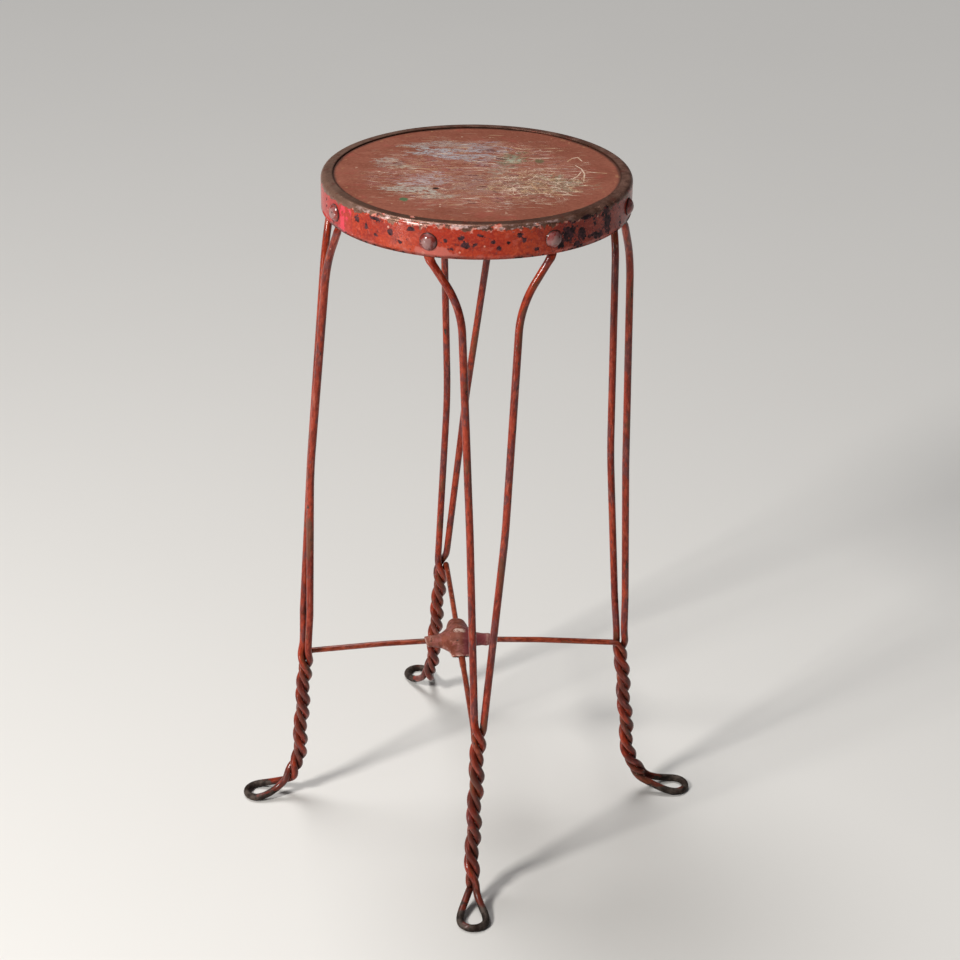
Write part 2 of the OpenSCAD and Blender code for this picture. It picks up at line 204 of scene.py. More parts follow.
def split(where):
    """The three numbers of a place."""
    return put("ShaderNodeSeparateXYZ", {0: where})


def from_axis(where):
    """Distance from the seat's axis."""
    return length_of(stretched(where, (1, 1, 0)))


def new_group(name, **inputs):
    """An empty node group with named inputs, each given with its kind, and one mask as its output."""
    group = bpy.data.node_groups.new(name, "ShaderNodeTree")
    for socket, kind in inputs.items():
        group.interface.new_socket(name=socket, in_out="INPUT", socket_type="NodeSocket" + kind)
    group.interface.new_socket(name="Mask", in_out="OUTPUT", socket_type="NodeSocketFloat")
    return group, group.nodes.new("NodeGroupInput").outputs, group.nodes.new("NodeGroupOutput").inputs["Mask"]


def placed(group, inputs):
    """Places a node group in a material, and gives its mask."""
    return put("ShaderNodeGroup", inputs, node_tree=group)[0]


def new_material(name, shine=0.5, coat=0.0, coat_roughness=0.1):
    """A material with one principled shader, and the coordinates of its object."""
    material = bpy.data.materials.new(name)
    material.use_nodes = True
    shader = material.node_tree.nodes["Principled BSDF"].inputs
    shader["Specular IOR Level"].default_value = shine
    shader["Coat Weight"].default_value = coat
    shader["Coat Roughness"].default_value = coat_roughness
    return material, shader, material.node_tree.nodes.new("ShaderNodeTexCoord").outputs["Object"]


def linked(shader, looks):
    """Gives a shader the looks that change over the surface."""
    for name, socket in looks.items():
        socket.id_data.links.new(socket, shader[name])


def raised(shader, height, distance):
    """Gives the surface of a material its relief."""
    linked(shader, {"Normal": put("ShaderNodeBump", {"Height": height, "Distance": distance})[0]})


def paint_marks():
    """Irregular marks, such as chips, stains or scratches: where a cloudy pattern rises over a level."""
    group, given, mask = new_group("paint_marks", Vector="Vector", Detail="Float", Level="Float",
                                   Softness="Float")
    pattern = clouds(given["Vector"], 1.0, given["Detail"], 0.6, 0.3)
    high = added(given["Level"], given["Softness"])
    group.links.new(eased(pattern, given["Level"], high), mask)
    return group


marks_group = paint_marks()


def marks(where, level, softness=0.03, detail=5.0):
    return placed(marks_group, {"Vector": where, "Level": level, "Softness": softness, "Detail": detail})


def small_specks():
    """Small round specks, such as dirt or drops of paint, in a share of the cells of a random grid."""
    group, given, mask = new_group("small_specks", Vector="Vector", Size="Float", Share="Float")
    cells = put("ShaderNodeTexVoronoi", {"Vector": given["Vector"], "Scale": 1.0, "Randomness": 1.0})
    lot = put("ShaderNodeSeparateColor", {"Color": cells["Color"]})
    size = both(given["Size"], lot["Green"])
    chosen = sum_of("LESS_THAN", lot["Red"], given["Share"])
    group.links.new(both(chosen, fading(cells["Distance"], both(size, 0.7), size)), mask)
    return group


specks_group = small_specks()


def specks(where, size, share):
    return placed(specks_group, {"Vector": where, "Size": size, "Share": share})


def one_spot():
    """One spot at a place, with a ragged outline that follows the grain it is given."""
    group, given, mask = new_group("one_spot", Vector="Vector", Grain="Vector", Place="Vector", Size="Vector",
                                   Ragged="Float")
    off = vectors("SUBTRACT", given["Vector"], given["Place"])
    reach = length_of(vectors("DIVIDE", off, given["Size"]))
    pushed = wobble(given["Grain"], given["Ragged"], 1.0, 5.0, 0.65)
    group.links.new(fading(added(reach, pushed), 0.75, 1.05), mask)
    return group


spot_group = one_spot()


def spot(where, grain, place, size, ragged=3.0):
    """A spot with its place and size in mm."""
    return placed(spot_group, {"Vector": where, "Grain": grain, "Place": [c*mm for c in place],
                               "Size": [c*mm for c in size], "Ragged": ragged})


def one_stroke():
    """A stroke of paint between two places, with a ragged outline."""
    group, given, mask = new_group("one_stroke", Vector="Vector", Grain="Vector", From="Vector", Way="Vector",
                                   Width="Float", Ragged="Float")
    off = vectors("SUBTRACT", given["Vector"], given["From"])
    along = vectors("DOT_PRODUCT", off, given["Way"], "Value")
    whole = vectors("DOT_PRODUCT", given["Way"], given["Way"], "Value")
    share = eased(along, 0.0, whole)
    group.nodes[-1].interpolation_type = "LINEAR"
    reach = length_of(vectors("SUBTRACT", off, scaled(given["Way"], share)))
    pushed = wobble(given["Grain"], given["Ragged"], 1.0, 4.0, 0.6)
    group.links.new(fading(added(sum_of("DIVIDE", reach, given["Width"]), pushed), 0.8, 1.05), mask)
    return group


stroke_group = one_stroke()


def strokes(where, grain, places, width, ragged=1.0):
    """Strokes that follow a chain of places in mm."""
    mask = 0.0
    for a, b in zip(places, places[1:]):
        way = [(d - c)*mm for c, d in zip(a, b)]
        one = placed(stroke_group, {"Vector": where, "Grain": grain, "From": [c*mm for c in a], "Way": way,
                                    "Width": width*mm, "Ragged": ragged})
        mask = either(mask, one)
    return mask


def warped(where, scale, amount):
    """Coordinates pushed about by a cloudy pattern, so that straight streaks run in waves."""
    push = put("ShaderNodeTexNoise", {"Vector": where, "Scale": scale, "Detail": 2.0})["Color"]
    return vectors("ADD", where, scaled(vectors("SUBTRACT", push, (0.5, 0.5, 0.5)), amount))


def outlines(where, scale, width, detail=1.5):
    """Thin curling lines, such as scratches: where a cloudy pattern crosses its middle."""
    away = sum_of("ABSOLUTE", sum_of("SUBTRACT", clouds(where, scale, detail, 0.5), 0.5))
    return fading(away, width*0.35, width)


def on_seat(where, grain, x, y, long, wide, ragged):
    """A spot on the seat's top, in mm."""
    return spot(where, grain, (x, y, seat_height), (long, wide, 20), ragged)


def board_material():
    """Brown-red paint over grey-blue and green coats, rubbed through and scratched; bare old wood below."""
    material, shader, where = new_material("scuffed_board_paint", 0.22)
    reach = from_axis(where)
    wavy = warped(where, 24.0, 0.030)
    grain = stretched(wavy, (30, 120, 60), math.radians(-6))
    flat = stretched(wavy, (64, 190, 64), math.radians(-8))
    rising = stretched(wavy, (66, 200, 66), math.radians(-48))
    falling = stretched(wavy, (66, 220, 66), math.radians(40))

    paint = clouded(where, 14.0, (0.228, 0.066, 0.037), (0.290, 0.092, 0.056), 0.36, 0.64, 6.0, 0.6)
    paint = over(paint, (0.195, 0.050, 0.028), marks(grain, 0.55, 0.12), 0.45)
    paint = over(paint, (0.330, 0.060, 0.045), marks(stretched(where, 40), 0.56, 0.1), 0.35)
    fine_tones = clouds(stretched(wavy, (1, 2.2, 1)), 330.0, 3.0)
    paint = over(paint, (0.360, 0.135, 0.090), eased(fine_tones, 0.52, 0.62), 0.35)
    paint = over(paint, (0.150, 0.036, 0.022), fading(fine_tones, 0.36, 0.46), 0.35)

    uneven = wobble(where, 0.085, 22.0)
    rubbed = fading(added(reach, uneven), 0.080, 0.122)
    dull = both(rubbed, marks(stretched(wavy, (70, 180, 70)), 0.43, 0.18, 6.0))
    paint = over(paint, (0.330, 0.150, 0.105), dull, 0.45)
    mauve = both(rubbed, marks(falling, 0.52, 0.08, 6.0))
    paint = over(paint, (0.330, 0.130, 0.135), mauve, 0.4)

    # Scuffs through to the older coats: middle and size in mm, colour, strength and the run of the streaks
    broken = eased(clouds(stretched(wavy, (1, 1.7, 1), 0.3), 230.0, 4.0, 0.7), 0.40, 0.50)
    wear = dull
    scuffs = [
        (-52, 68, 26, 15, (0.350, 0.330, 0.330), 1.0, flat),
        (-18, 58, 40, 18, (0.340, 0.305, 0.325), 1.0, flat),
        (-36, 88, 42, 13, (0.330, 0.265, 0.240), 0.75, flat),
        (12, 78, 24, 20, (0.330, 0.270, 0.280), 0.7, falling),
        (20, 40, 22, 16, (0.330, 0.250, 0.250), 0.6, falling),
        (-92, 30, 14, 15, (0.340, 0.275, 0.235), 0.75, rising),
        (-70, 14, 19, 7, (0.400, 0.320, 0.240), 0.9, rising),
        (-48, -24, 28, 22, (0.370, 0.265, 0.265), 1.0, rising),
        (-58, -54, 29, 14, (0.380, 0.330, 0.280), 1.0, rising),
        (-40, -72, 18, 7, (0.370, 0.310, 0.250), 0.8, flat),
        (36, 46, 17, 19, (0.150, 0.140, 0.075), 1.0, falling),
        (38, 44, 9, 10, (0.340, 0.350, 0.260), 1.0, rising),
        (22, 1, 11, 17, (0.300, 0.225, 0.165), 0.75, rising),
        (76, -12, 10, 11, (0.150, 0.125, 0.062), 0.85, rising),
        (92, -36, 17, 15, (0.300, 0.235, 0.150), 0.75, falling),
        (10, -30, 50, 34, (0.290, 0.180, 0.150), 0.5, falling),
        (68, -32, 44, 34, (0.210, 0.150, 0.090), 0.6, rising),
    ]
    for x, y, long, wide, colour, strength, streaks in scuffs:
        mask = both(on_seat(where, grain, x, y, long, wide, 3.6), marks(streaks, 0.41, 0.08, 7.0), broken)
        paint = over(paint, colour, mask, strength)
        wear = either(wear, mask)
    cracks = both(rubbed, either(marks(flat, 0.625, 0.04, 3.0), marks(falling, 0.640, 0.03, 3.0)))
    paint = over(paint, (0.110, 0.032, 0.026), cracks, 0.8)
    white = both(wear, marks(rising, 0.625, 0.04, 3.0))
    paint = over(paint, (0.520, 0.450, 0.400), white, 0.75)

    # Scratches: curls, a web at the right, straight ones over three areas, and single long arcs in mm
    nearly_all = fading(reach, 0.116, 0.136)
    at_web = on_seat(where, grain, 62, -34, 52, 50, 1.6)
    curls = either(outlines(wavy, 70.0, 0.016, 2.5), outlines(where, 125.0, 0.022, 2.0))
    curls = both(curls, marks(stretched(where, 60), 0.43, 0.08))
    web = outlines(stretched(where, (1, 0.8, 1), 0.5), 84.0, 0.017, 2.0)
    web = both(web, marks(stretched(where, 90), 0.36, 0.06))
    scratched = either(both(curls, either(at_web, both(rubbed, 0.35))), both(web, at_web))
    straight = [
        (rubbed, stretched(wavy, (26, 430, 26), 0.06), 0.615),
        (nearly_all, stretched(where, (40, 560, 40), math.radians(-31)), 0.640),
        (at_web, stretched(where, (50, 480, 50), math.radians(38)), 0.590),
    ]
    for area, streaks, level in straight:
        scratched = either(scratched, both(area, marks(streaks, level, 0.03, 2.5)))
    arcs = [
        [(101, 28), (107, 17), (109.5, 2), (108, -20)],
        [(97, -14), (102, -6), (106, 7)],
        [(93, 40), (98, 50), (104, 54), (108, 42)],
        [(112, 8), (132, 5)],
        [(20, -42), (34, -46), (52, -40)],
    ]
    for places in arcs:
        chain = [(x, y, seat_height) for x, y in places]
        scratched = either(scratched, strokes(where, stretched(where, 200), chain, 0.8, 1.6))
    light_or_tan = clouded(where, 60.0, (0.680, 0.500, 0.380), (0.500, 0.310, 0.180), 0.45, 0.55)
    paint = over(paint, light_or_tan, scratched, 0.85)
    pale = both(nearly_all, specks(stretched(where, (170, 170, 0)), 0.30, 0.16))
    paint = over(paint, (0.600, 0.400, 0.300), pale, 0.85)
    rim_chips = both(eased(reach, 0.1345, 0.1385), marks(stretched(where, 150), 0.60, 0.04))
    paint = over(paint, (0.400, 0.190, 0.095), rim_chips, 0.6)

    # Two green spots, the nick at the front left, and a dark ring against the lip: dirt, and painted shade
    # where the lip overhangs the board
    torn = stretched(where, 120)
    paint = mixed(on_seat(where, torn, -71, -82.8, 4.6, 5.6, 1.4), paint, (0.085, 0.135, 0.062))
    paint = over(paint, (0.120, 0.110, 0.048), on_seat(where, torn, 64, 39, 5, 7, 2.2), 0.8)
    nick = on_seat(where, torn, -40.4, -48.6, 3.6, 2.6, 1.2)
    paint = mixed(nick, paint, (0.012, 0.006, 0.005))
    # Dirt and painted shade: the paint darkens towards the lip's edge, where the lip overhangs the board.
    dirt = eased(added(reach, both(uneven, 0.08)), 0.1425, 0.1462)
    paint = over(paint, (0.050, 0.022, 0.016), dirt, 0.85)

    years = clouds(stretched(where, (9, 190, 190)), 1.0, 7.0, 0.6, 1.2)
    wood = mixed(eased(years, 0.30, 0.70), (0.105, 0.058, 0.030), (0.260, 0.160, 0.088))
    wood = over(wood, (0.040, 0.022, 0.013), marks(stretched(where, (16, 420, 60)), 0.60, 0.04), 0.8)
    wood = over(wood, (0.075, 0.045, 0.028), marks(stretched(where, 20), 0.50, 0.2), 0.6)
    is_top = eased(split(where)["Z"], board_top - 4*mm, board_top - 3*mm)
    worn_or_wood = either(wear, scratched, fading(is_top, 0.0, 1.0))
    linked(shader, {"Base Color": mixed(is_top, wood, paint),
                    "Roughness": eased(worn_or_wood, 0.0, 1.0, 0.47, 0.72)})
    sunk = added(both(wear, -0.5), both(either(scratched, nick), -0.6))
    relief = both(added(sunk, both(clouds(grain, 4.0, 5.0), 0.35)), is_top)
    raised(shader, added(relief, both(years, eased(is_top, 0.0, 1.0, 0.9, 0.0))), 0.25*mm)
    return material


board_outline = [(0, board_bottom), (board_r - board_edge, board_bottom)]
board_outline += arc((board_r - board_edge, board_bottom + board_edge), board_edge, -90, 0, 5)[1:]
board_outline += arc((board_r - board_round, board_top - board_round), board_round, 0, 90, 8)
board_outline += [((board_r - board_round)*(1 - k/14), board_top) for k in range(1, 15)]
board = turned(board_outline, 192)
for point in board.verts:
    if point.co.z > board_top - 0.1*mm and point.co.xy.length < board_r - 6*mm:
        point.co.z -= board_sag*(0.5 + 0.5*noise.noise(point.co*11))
seat_board = finished("painted_board", board, board_material())
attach(seat_board, "root")
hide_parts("seat_board")

# Seat band
# A hoop of sheet steel, closed on the inside, with a rolled shoulder and a lip turned in over the board.
# It is painted orange-red over older pinkish coats, and chipped down to dark steel. The lip is worn bare.
band_low, band_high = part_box("seat_band")
band_r = (band_high[0] - band_low[0])/2
band_top = band_high[2]
band_bottom = band_low[2]
sheet_t = band_top - board_top
inner_r = band_r - sheet_t
shoulder_r = 5.5*mm
lip_w = 12.5*mm
dent = 0.22*mm
lip_sag = 0.35*mm


def band_material():
    """Glossy orange-red paint, chipped through to a pinkish coat and to dark steel, and a lip worn bare;
    painted shade on the right side and on the lip, and painted highlights on the shoulder, the lip's left
    side and in glints.
    """
    material, shader, where = new_material("chipped_band_paint", 0.12, 0.3, 0.14)
    x, y, z = split(where)
    reach = from_axis(where)
    torn = stretched(warped(where, 150.0, 0.006), 210)

    paint = clouded(where, 11.0, (0.350, 0.022, 0.006), (0.470, 0.052, 0.012), detail=5.0)
    # Painted shade: the band is darker towards its right and back, away from the light.
    painted_shade_right = both(eased(sum_of("SUBTRACT", both(x, 0.8), y), 0.10, 0.24), eased(x, 0.02, 0.13))
    paint = over(paint, (0.170, 0.010, 0.008), painted_shade_right, 0.75)
    paint = over(paint, (0.235, 0.013, 0.008), marks(stretched(where, (32, 32, 60)), 0.53, 0.10), 0.65)
    paint = over(paint, (0.480, 0.085, 0.055), marks(stretched(where, (95, 95, 120), 0.7), 0.575, 0.05), 0.5)
    paint = over(paint, (0.200, 0.010, 0.008), marks(stretched(where, 170), 0.56, 0.05), 0.5)
    fine_tones = clouds(where, 420.0, 3.0)
    paint = over(paint, (0.600, 0.110, 0.040), eased(fine_tones, 0.54, 0.62), 0.22)
    paint = over(paint, (0.180, 0.010, 0.004), fading(fine_tones, 0.36, 0.46), 0.4)
    far_left = eased(added(x, both(clouds(where, 60.0), 0.02)), -0.105, -0.125)
    paint = over(paint, (0.400, 0.024, 0.030), far_left, 0.6)
    # Painted highlights: small pale glints scattered over the paint.
    painted_glints = either(specks(stretched(where, 210), 0.30, 0.05), specks(stretched(where, 120), 0.26, 0.07))
    paint = over(paint, (0.700, 0.380, 0.290), painted_glints, 0.7)
    low_edge = fading(added(z, wobble(where, 0.016, 70.0)), band_bottom + 0.5*mm, band_bottom + 5*mm)
    pinkish = spot(where, stretched(where, 75), (-38, -154, 730), (22, 18, 7), 2.2)
    paint = over(paint, (0.500, 0.135, 0.105), either(pinkish, both(low_edge, 0.7)), 0.7)

    # Chips: more of them at the right and near the top, and the larger ones with middle and size in mm
    at_right = both(eased(x, 0.055, 0.13), eased(y, -0.02, -0.06))
    near_top = eased(z, band_top - 11*mm, band_top - 5*mm)
    more = added(both(at_right, 0.085), both(near_top, 0.03), wobble(where, 0.22, 26.0, 2.0))
    pattern = added(clouds(where, 112.0, 9.0, 0.70, 0.5), more)
    small_pattern = added(clouds(where, 300.0, 6.0, 0.70, 0.4), both(more, 0.7))
    chips = either(eased(pattern, 0.652, 0.662), eased(small_pattern, 0.640, 0.655))
    halo = either(eased(pattern, 0.622, 0.640), eased(small_pattern, 0.605, 0.625))
    placed_chips = [
        ((-115.5, -109.3, 747.6), (3.5, 3.5, 4.5)),
        ((-106.2, -118.3, 742.8), (3, 3, 3)),
        ((-96, -126.7, 753), (8, 8, 2.6)),
        ((-82, -136.2, 743.5), (4.2, 4.2, 3.2)),
        ((-62, -146.5, 751), (4, 4, 2.4)),
        ((-72, -141.5, 736), (2.4, 2.4, 2)),
        ((-96.5, -126.5, 736.5), (3, 3, 2)),
        ((-22, -157.5, 735), (3, 3, 2)),
        ((5, -159, 750), (3.4, 3, 2.2)),
        ((24, -157.2, 737), (3.2, 3, 2.4)),
        ((33, -155.5, 742), (2.2, 2.2, 1.8)),
        ((47, -152, 743), (3.4, 3.4, 3.2)),
        ((60, -147.3, 732.5), (3, 3, 2)),
        ((104, -120, 742), (5, 5, 5)),
        ((99, -124.5, 731), (4, 4, 2.4)),
        ((-28, -156, 743), (2.4, 3, 2.0)),
        ((-9.1, -158.7, 740.2), (5.5, 4, 3.4)),
        ((-13, -158.5, 747), (3.4, 4, 2.4)),
        ((0.5, -159, 740.4), (3, 3, 2)),
        ((18, -158, 743.5), (2.4, 3, 2)),
        ((43.4, -153, 749.1), (3.5, 3.5, 2.6)),
        ((91.7, -129.9, 744), (8.5, 8.5, 9)),
        ((84, -135, 735), (5, 5, 6)),
        ((120.4, -103.9, 733), (12, 12, 4)),
        ((130, -91.5, 742), (6.5, 8, 11)),
        ((128, -94.4, 753), (9, 9, 4.5)),
        ((111.3, -113.6, 756), (15, 15, 3.4)),
        ((96, -126.5, 756), (9, 9, 2.4)),
        ((-141.7, -72.1, 737.7), (7, 12, 8)),
    ]
    for middle, size in placed_chips:
        chips = either(chips, spot(where, torn, middle, size, 3.4))
    lower_edge = fading(z, band_bottom + 1.2*mm, band_bottom + 2.6*mm)
    chips = either(chips, both(marks(stretched(where, 130), 0.54, 0.03), lower_edge))
    paint = over(paint, (0.460, 0.085, 0.060), halo, 0.45)

    # A pale older coat along the shoulder in front, laid on partly as a painted highlight, and a pink run of
    # paint at the left
    old_coat_and_highlight = added(z, wobble(where, 0.020, 140.0, 6.0))
    old_coat_and_highlight = both(eased(old_coat_and_highlight, band_top - 5.4*mm, band_top - 4.4*mm), eased(y, -0.05, -0.10),
                     marks(stretched(where, 170), 0.44, 0.10))
    paint = over(paint, (0.620, 0.260, 0.200), old_coat_and_highlight, 0.8)
    run = strokes(where, torn, [(-131, -90, 750), (-131.6, -89.2, 741), (-131.2, -89.8, 729)], 4.6, 2.6)
    drops = [
        ((-123.5, -100.2, 749.5), (3, 3.6, 4.2), 3.4),
        ((-126.5, -96.4, 741.5), (2.2, 2.6, 2.4), 3.4),
        ((-132, -88.7, 729.5), (5.5, 6.5, 2.6), 3.2),
    ]
    for middle, size, ragged in drops:
        run = either(run, spot(where, torn, middle, size, ragged))
    run = both(run, marks(stretched(where, (120, 120, 90)), 0.42, 0.04))
    paint = over(paint, (0.640, 0.040, 0.070), run, 0.92)

    # Steel: dark in the chips, rubbed brown on the lip and rusty inside. The lip is painted lighter at the
    # left and darker on its flat top in front, and has painted shade along its inner edge
    steel = clouded(where, 190.0, (0.012, 0.006, 0.008), (0.085, 0.030, 0.036), 0.38, 0.62, 6.0, 0.65)
    front_right = eased(sum_of("SUBTRACT", x, both(y, 0.6)), 0.06, 0.16)
    more_bare = both(either(front_right, eased(x, -0.08, -0.14)), 3*mm)
    bare_depth = added(wobble(where, 0.030, 75.0, 7.0, 0.62), more_bare)
    lip = eased(added(z, bare_depth), band_top - 3.4*mm, band_top - 2.8*mm)
    lip = either(lip, both(eased(z, band_top - 1.6*mm, band_top - 1.0*mm), eased(y, -0.02, 0.02)))
    rubbed = clouded(where, 90.0, (0.120, 0.052, 0.034), (0.250, 0.130, 0.095), detail=7.0, roughness=0.65)
    # Painted light: the rubbed lip is lighter at the left.
    rubbed = over(rubbed, (0.260, 0.150, 0.108), eased(x, -0.03, -0.12), 0.6)
    flat_lip = eased(z, band_top - 0.9*mm, band_top - 0.3*mm)
    in_front = eased(y, -0.05, -0.11)
    # Painted shade: the flat top of the lip is darker in front.
    rubbed = over(rubbed, (0.085, 0.036, 0.022), both(flat_lip, in_front), 0.65)
    # Painted shade: a dark line along the lip's inner edge, over the gap to the board.
    rubbed = mixed(eased(reach, 0.1462, 0.1484, 0.85, 0.0), rubbed, (0.045, 0.020, 0.012))
    rubbed = over(rubbed, (0.150, 0.035, 0.022), marks(stretched(where, 110), 0.58, 0.06), 0.5)
    inside = both(fading(reach, inner_r + 0.3*mm, inner_r + 0.7*mm),
                  fading(z, band_top - 3.4*mm, band_top - 3.0*mm))
    rust = clouded(where, 45.0, (0.075, 0.022, 0.014), (0.190, 0.062, 0.034), detail=6.0, roughness=0.65)

    colour = mixed(lip, mixed(chips, paint, steel), rubbed)
    # Painted highlight: a pale pinkish band along the top of the shoulder in front.
    painted_shoulder_highlight = eased(added(z, wobble(where, 0.012, 90.0, 5.0)), band_top - 4.6*mm, band_top - 3.0*mm)
    at_middle = both(eased(x, -0.128, -0.096), eased(x, 0.105, 0.060))
    painted_shoulder_highlight = both(painted_shoulder_highlight, eased(z, band_top - 0.5*mm, band_top - 1.6*mm), in_front, at_middle,
                       marks(stretched(where, (100, 100, 230)), 0.46, 0.10),
                       eased(clouds(where, 240.0, 4.0, 0.7), 0.34, 0.56, 0.35, 1.0))
    colour = over(colour, (0.780, 0.540, 0.510), painted_shoulder_highlight, 0.85)
    colour = over(colour, rust, inside, 0.9)
    dirt = marks(stretched(where, (55, 55, 90)), 0.52, 0.15, 6.0)
    bare = either(chips, either(lip, inside))
    rough = eased(bare, 0.0, 1.0, 0.30, 0.55)
    linked(shader, {"Base Color": over(colour, (0.050, 0.020, 0.014), dirt, 0.16),
                    "Roughness": sum_of("SUBTRACT", rough, both(lip, 0.20)),
                    "Metallic": both(lip, 0.5),
                    "Coat Weight": eased(bare, 0.0, 1.0, 0.3, 0.0)})
    on_shoulder = eased(z, band_top - 9*mm, band_top - 4*mm)
    skin = both(clouds(where, 130.0, 5.0, 0.6), added(0.9, both(on_shoulder, 1.4)))
    raised(shader, added(both(chips, -1.0), both(run, 0.8), both(lip, -0.8), skin), 0.15*mm)
    return material


shoulder = (band_r - shoulder_r, band_top - shoulder_r)
lip_tip = (band_r - lip_w + sheet_t/2, board_top + sheet_t/2)
band_outline = [(band_r, band_bottom + 0.5*mm + k*4*mm) for k in range(8)]
band_outline += arc(shoulder, shoulder_r, 0, 90, 14)
band_outline += [(shoulder[0] - k*1.2*mm, band_top) for k in range(1, 5)]
band_outline += arc(lip_tip, sheet_t/2, 90, 270, 8)
band_outline += arc(shoulder, shoulder_r - sheet_t, 90, 0, 8)
band_outline += [(inner_r, band_top - shoulder_r - k*5*mm) for k in range(1, 6)]
band_outline += arc((inner_r + sheet_t/2, band_bottom + sheet_t/2), sheet_t/2, 180, 360, 6)
band = turned(band_outline, 288, closed=True)
for point in band.verts:
    around = Vector((point.co.x, point.co.y, 0)).normalized()
    bulge = noise.noise(around*4.5 + Vector((0, 0, point.co.z*18)))
    point.co -= around*dent*(0.5 + 0.5*bulge)
    if point.co.z > band_top - 6*mm:
        point.co.z -= lip_sag*(0.5 + 0.5*noise.noise(around*3.1 + Vector((7, 0, 0))))
seat_band = finished("chipped_band", band, band_material())
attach(seat_band, "root")
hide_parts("seat_band")

# Rivets
# Eight steel rivets, two to a leg, driven from outside through the band and the flattened end of the wire.
# Each has a round head outside and a small tail hammered over inside. They are painted over and worn on top.
leg_turn = 6.2
between_rivets = 45.0
eye_r = 7.5*mm
eye_t = 3.4*mm
rivet_z = board_bottom - 0.1*mm - eye_r
eye_face = math.sqrt(inner_r**2 - eye_r**2) - 0.1*mm
head_r = 9.2*mm
head_h = 5.5*mm
tail_r = 5.5*mm
tail_h = 2.5*mm
shank_r = 3*mm
head_bumps = 0.22*mm
most_tilt = 2


def leg_angle(leg):
    """Direction of a leg from the seat's axis: 0 front, 1 right, 2 back, 3 left."""
    return math.radians(leg_turn + 90*leg - 90)


def rivet_angle(leg, side):
    """Direction of one of a leg's two rivets."""
    return leg_angle(leg) + side*math.radians(between_rivets/2)


def dome(radius, height, steps):
    """Outline of a round head, from its rim to its top."""
    ball = (radius**2 + height**2)/(2*height)
    lean = math.asin(radius/ball)
    return [(ball*math.sin(lean*(1 - k/steps)), height - ball + ball*math.cos(lean*(1 - k/steps)))
            for k in range(steps + 1)]


def rivet_material():
    """Glossy dark red paint, rubbed through to mauve and steel on the crowns, with painted shade and dirt
    round the foot of each head.
    """
    material, shader, where = new_material("worn_rivet_paint", 0.25, 0.45, 0.12)
    reach = from_axis(where)
    paint = clouded(where, 70.0, (0.140, 0.016, 0.012), (0.240, 0.036, 0.026), detail=5.0)
    paint = over(paint, (0.260, 0.110, 0.110), marks(stretched(where, 120), 0.48, 0.1), 0.65)
    crown = eased(added(reach, wobble(where, 0.008, 190.0, 6.0)), band_r + 3.6*mm, band_r + 5.2*mm)
    paint = over(paint, (0.300, 0.165, 0.155), crown, 0.75)
    # Painted shade and dirt: dark round the foot of each head, against the band.
    shade_under_head = fading(reach, band_r + 0.6*mm, band_r + 1.7*mm)
    chips = either(marks(stretched(where, 260), 0.62, 0.02), shade_under_head)
    linked(shader, {"Base Color": over(paint, (0.026, 0.014, 0.011), chips, 0.9),
                    "Roughness": eased(either(chips, both(crown, 0.4)), 0.0, 1.0, 0.26, 0.6)})
    raised(shader, sum_of("SUBTRACT", clouds(where, 260.0), both(chips, 0.7)), 0.16*mm)
    return material


def poured(whole, shape):
    """Adds a shape to a whole, and frees it."""
    loose = bpy.data.meshes.new("loose")
    shape.to_mesh(loose)
    shape.free()
    whole.from_mesh(loose)
    bpy.data.meshes.remove(loose)


draw = random.Random(4)
rivets = bmesh.new()
for leg in range(4):
    for side in (-1, 1):
        head = [(r, band_r + z) for r, z in dome(head_r, head_h, 14)]
        rim = [(head_r - 0.4*mm, band_r - 0.5*mm), (shank_r, band_r - 0.5*mm)]
        tail = [(r, eye_face - eye_t - z) for r, z in dome(tail_r, tail_h, 8)]
        outline = tail[::-1] + [(shank_r, eye_face - eye_t)] + rim[::-1] + head
        one = turned(outline, 40)
        for point in one.verts:
            if point.co.z > band_r:
                bump = head_bumps*noise.noise(point.co*160 + Vector((leg*3, side*5, 0)))
                point.co += bump*Vector((0.6, 0.6, 1))
        tilt = [math.radians(draw.uniform(-most_tilt, most_tilt)) for _ in range(2)]
        lean = Euler((*tilt, 0)).to_matrix().to_4x4()
        at_band = Matrix.Translation((0, 0, band_r))
        place = (Matrix.Translation((0, 0, rivet_z)) @ Matrix.Rotation(rivet_angle(leg, side), 4, "Z")
                 @ Matrix.Rotation(math.radians(90), 4, "Y") @ at_band @ lean @ at_band.inverted())
        bmesh.ops.transform(one, matrix=place, verts=one.verts)
        poured(rivets, one)
band_rivets = finished("band_rivet_set", rivets, rivet_material())
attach(band_rivets, "root")
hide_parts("band_rivets")

# Legs
# Each leg is one steel wire. Its flattened ends are riveted inside the band, and its two uprights come
# together in a left-handed twist that runs down to the floor and opens into a flat loop, the foot.
# The wire is painted dark red-brown, worn along its length, and bare where the loops scrape the floor.
wire_r = 4*mm
neck_z = 674*mm
neck_out = [155*mm, 154*mm, 155*mm, 155*mm]
neck_side = [0, 0, -8*mm, 0]
neck_half = 29*mm
neck_bend_r = 110*mm
crook_r = 10*mm
crook_out = 1.5*mm
waist_z = 430*mm
waist_half = [18*mm, 15*mm, 11*mm, 15*mm]
waist_bow = [3*mm, -4*mm, 3*mm, 5*mm]
waist_side = [3*mm, 0, -3*mm, 0]
pair_turn = [0, 50, 0, 31]
waist_turn = [0, 25, 0, -2]
knot_z = [194*mm, 195*mm, 194*mm, 186*mm]
knot_out = [183*mm, 170*mm, 193*mm, 187*mm]
knot_side = [-9*mm, -8*mm, 18*mm, -6*mm]
twist_pitch = [57*mm, 57*mm, 54*mm, 53*mm]
twist_turns = 3.5
ankle_out = [14*mm, 19*mm, 14*mm, 14*mm]
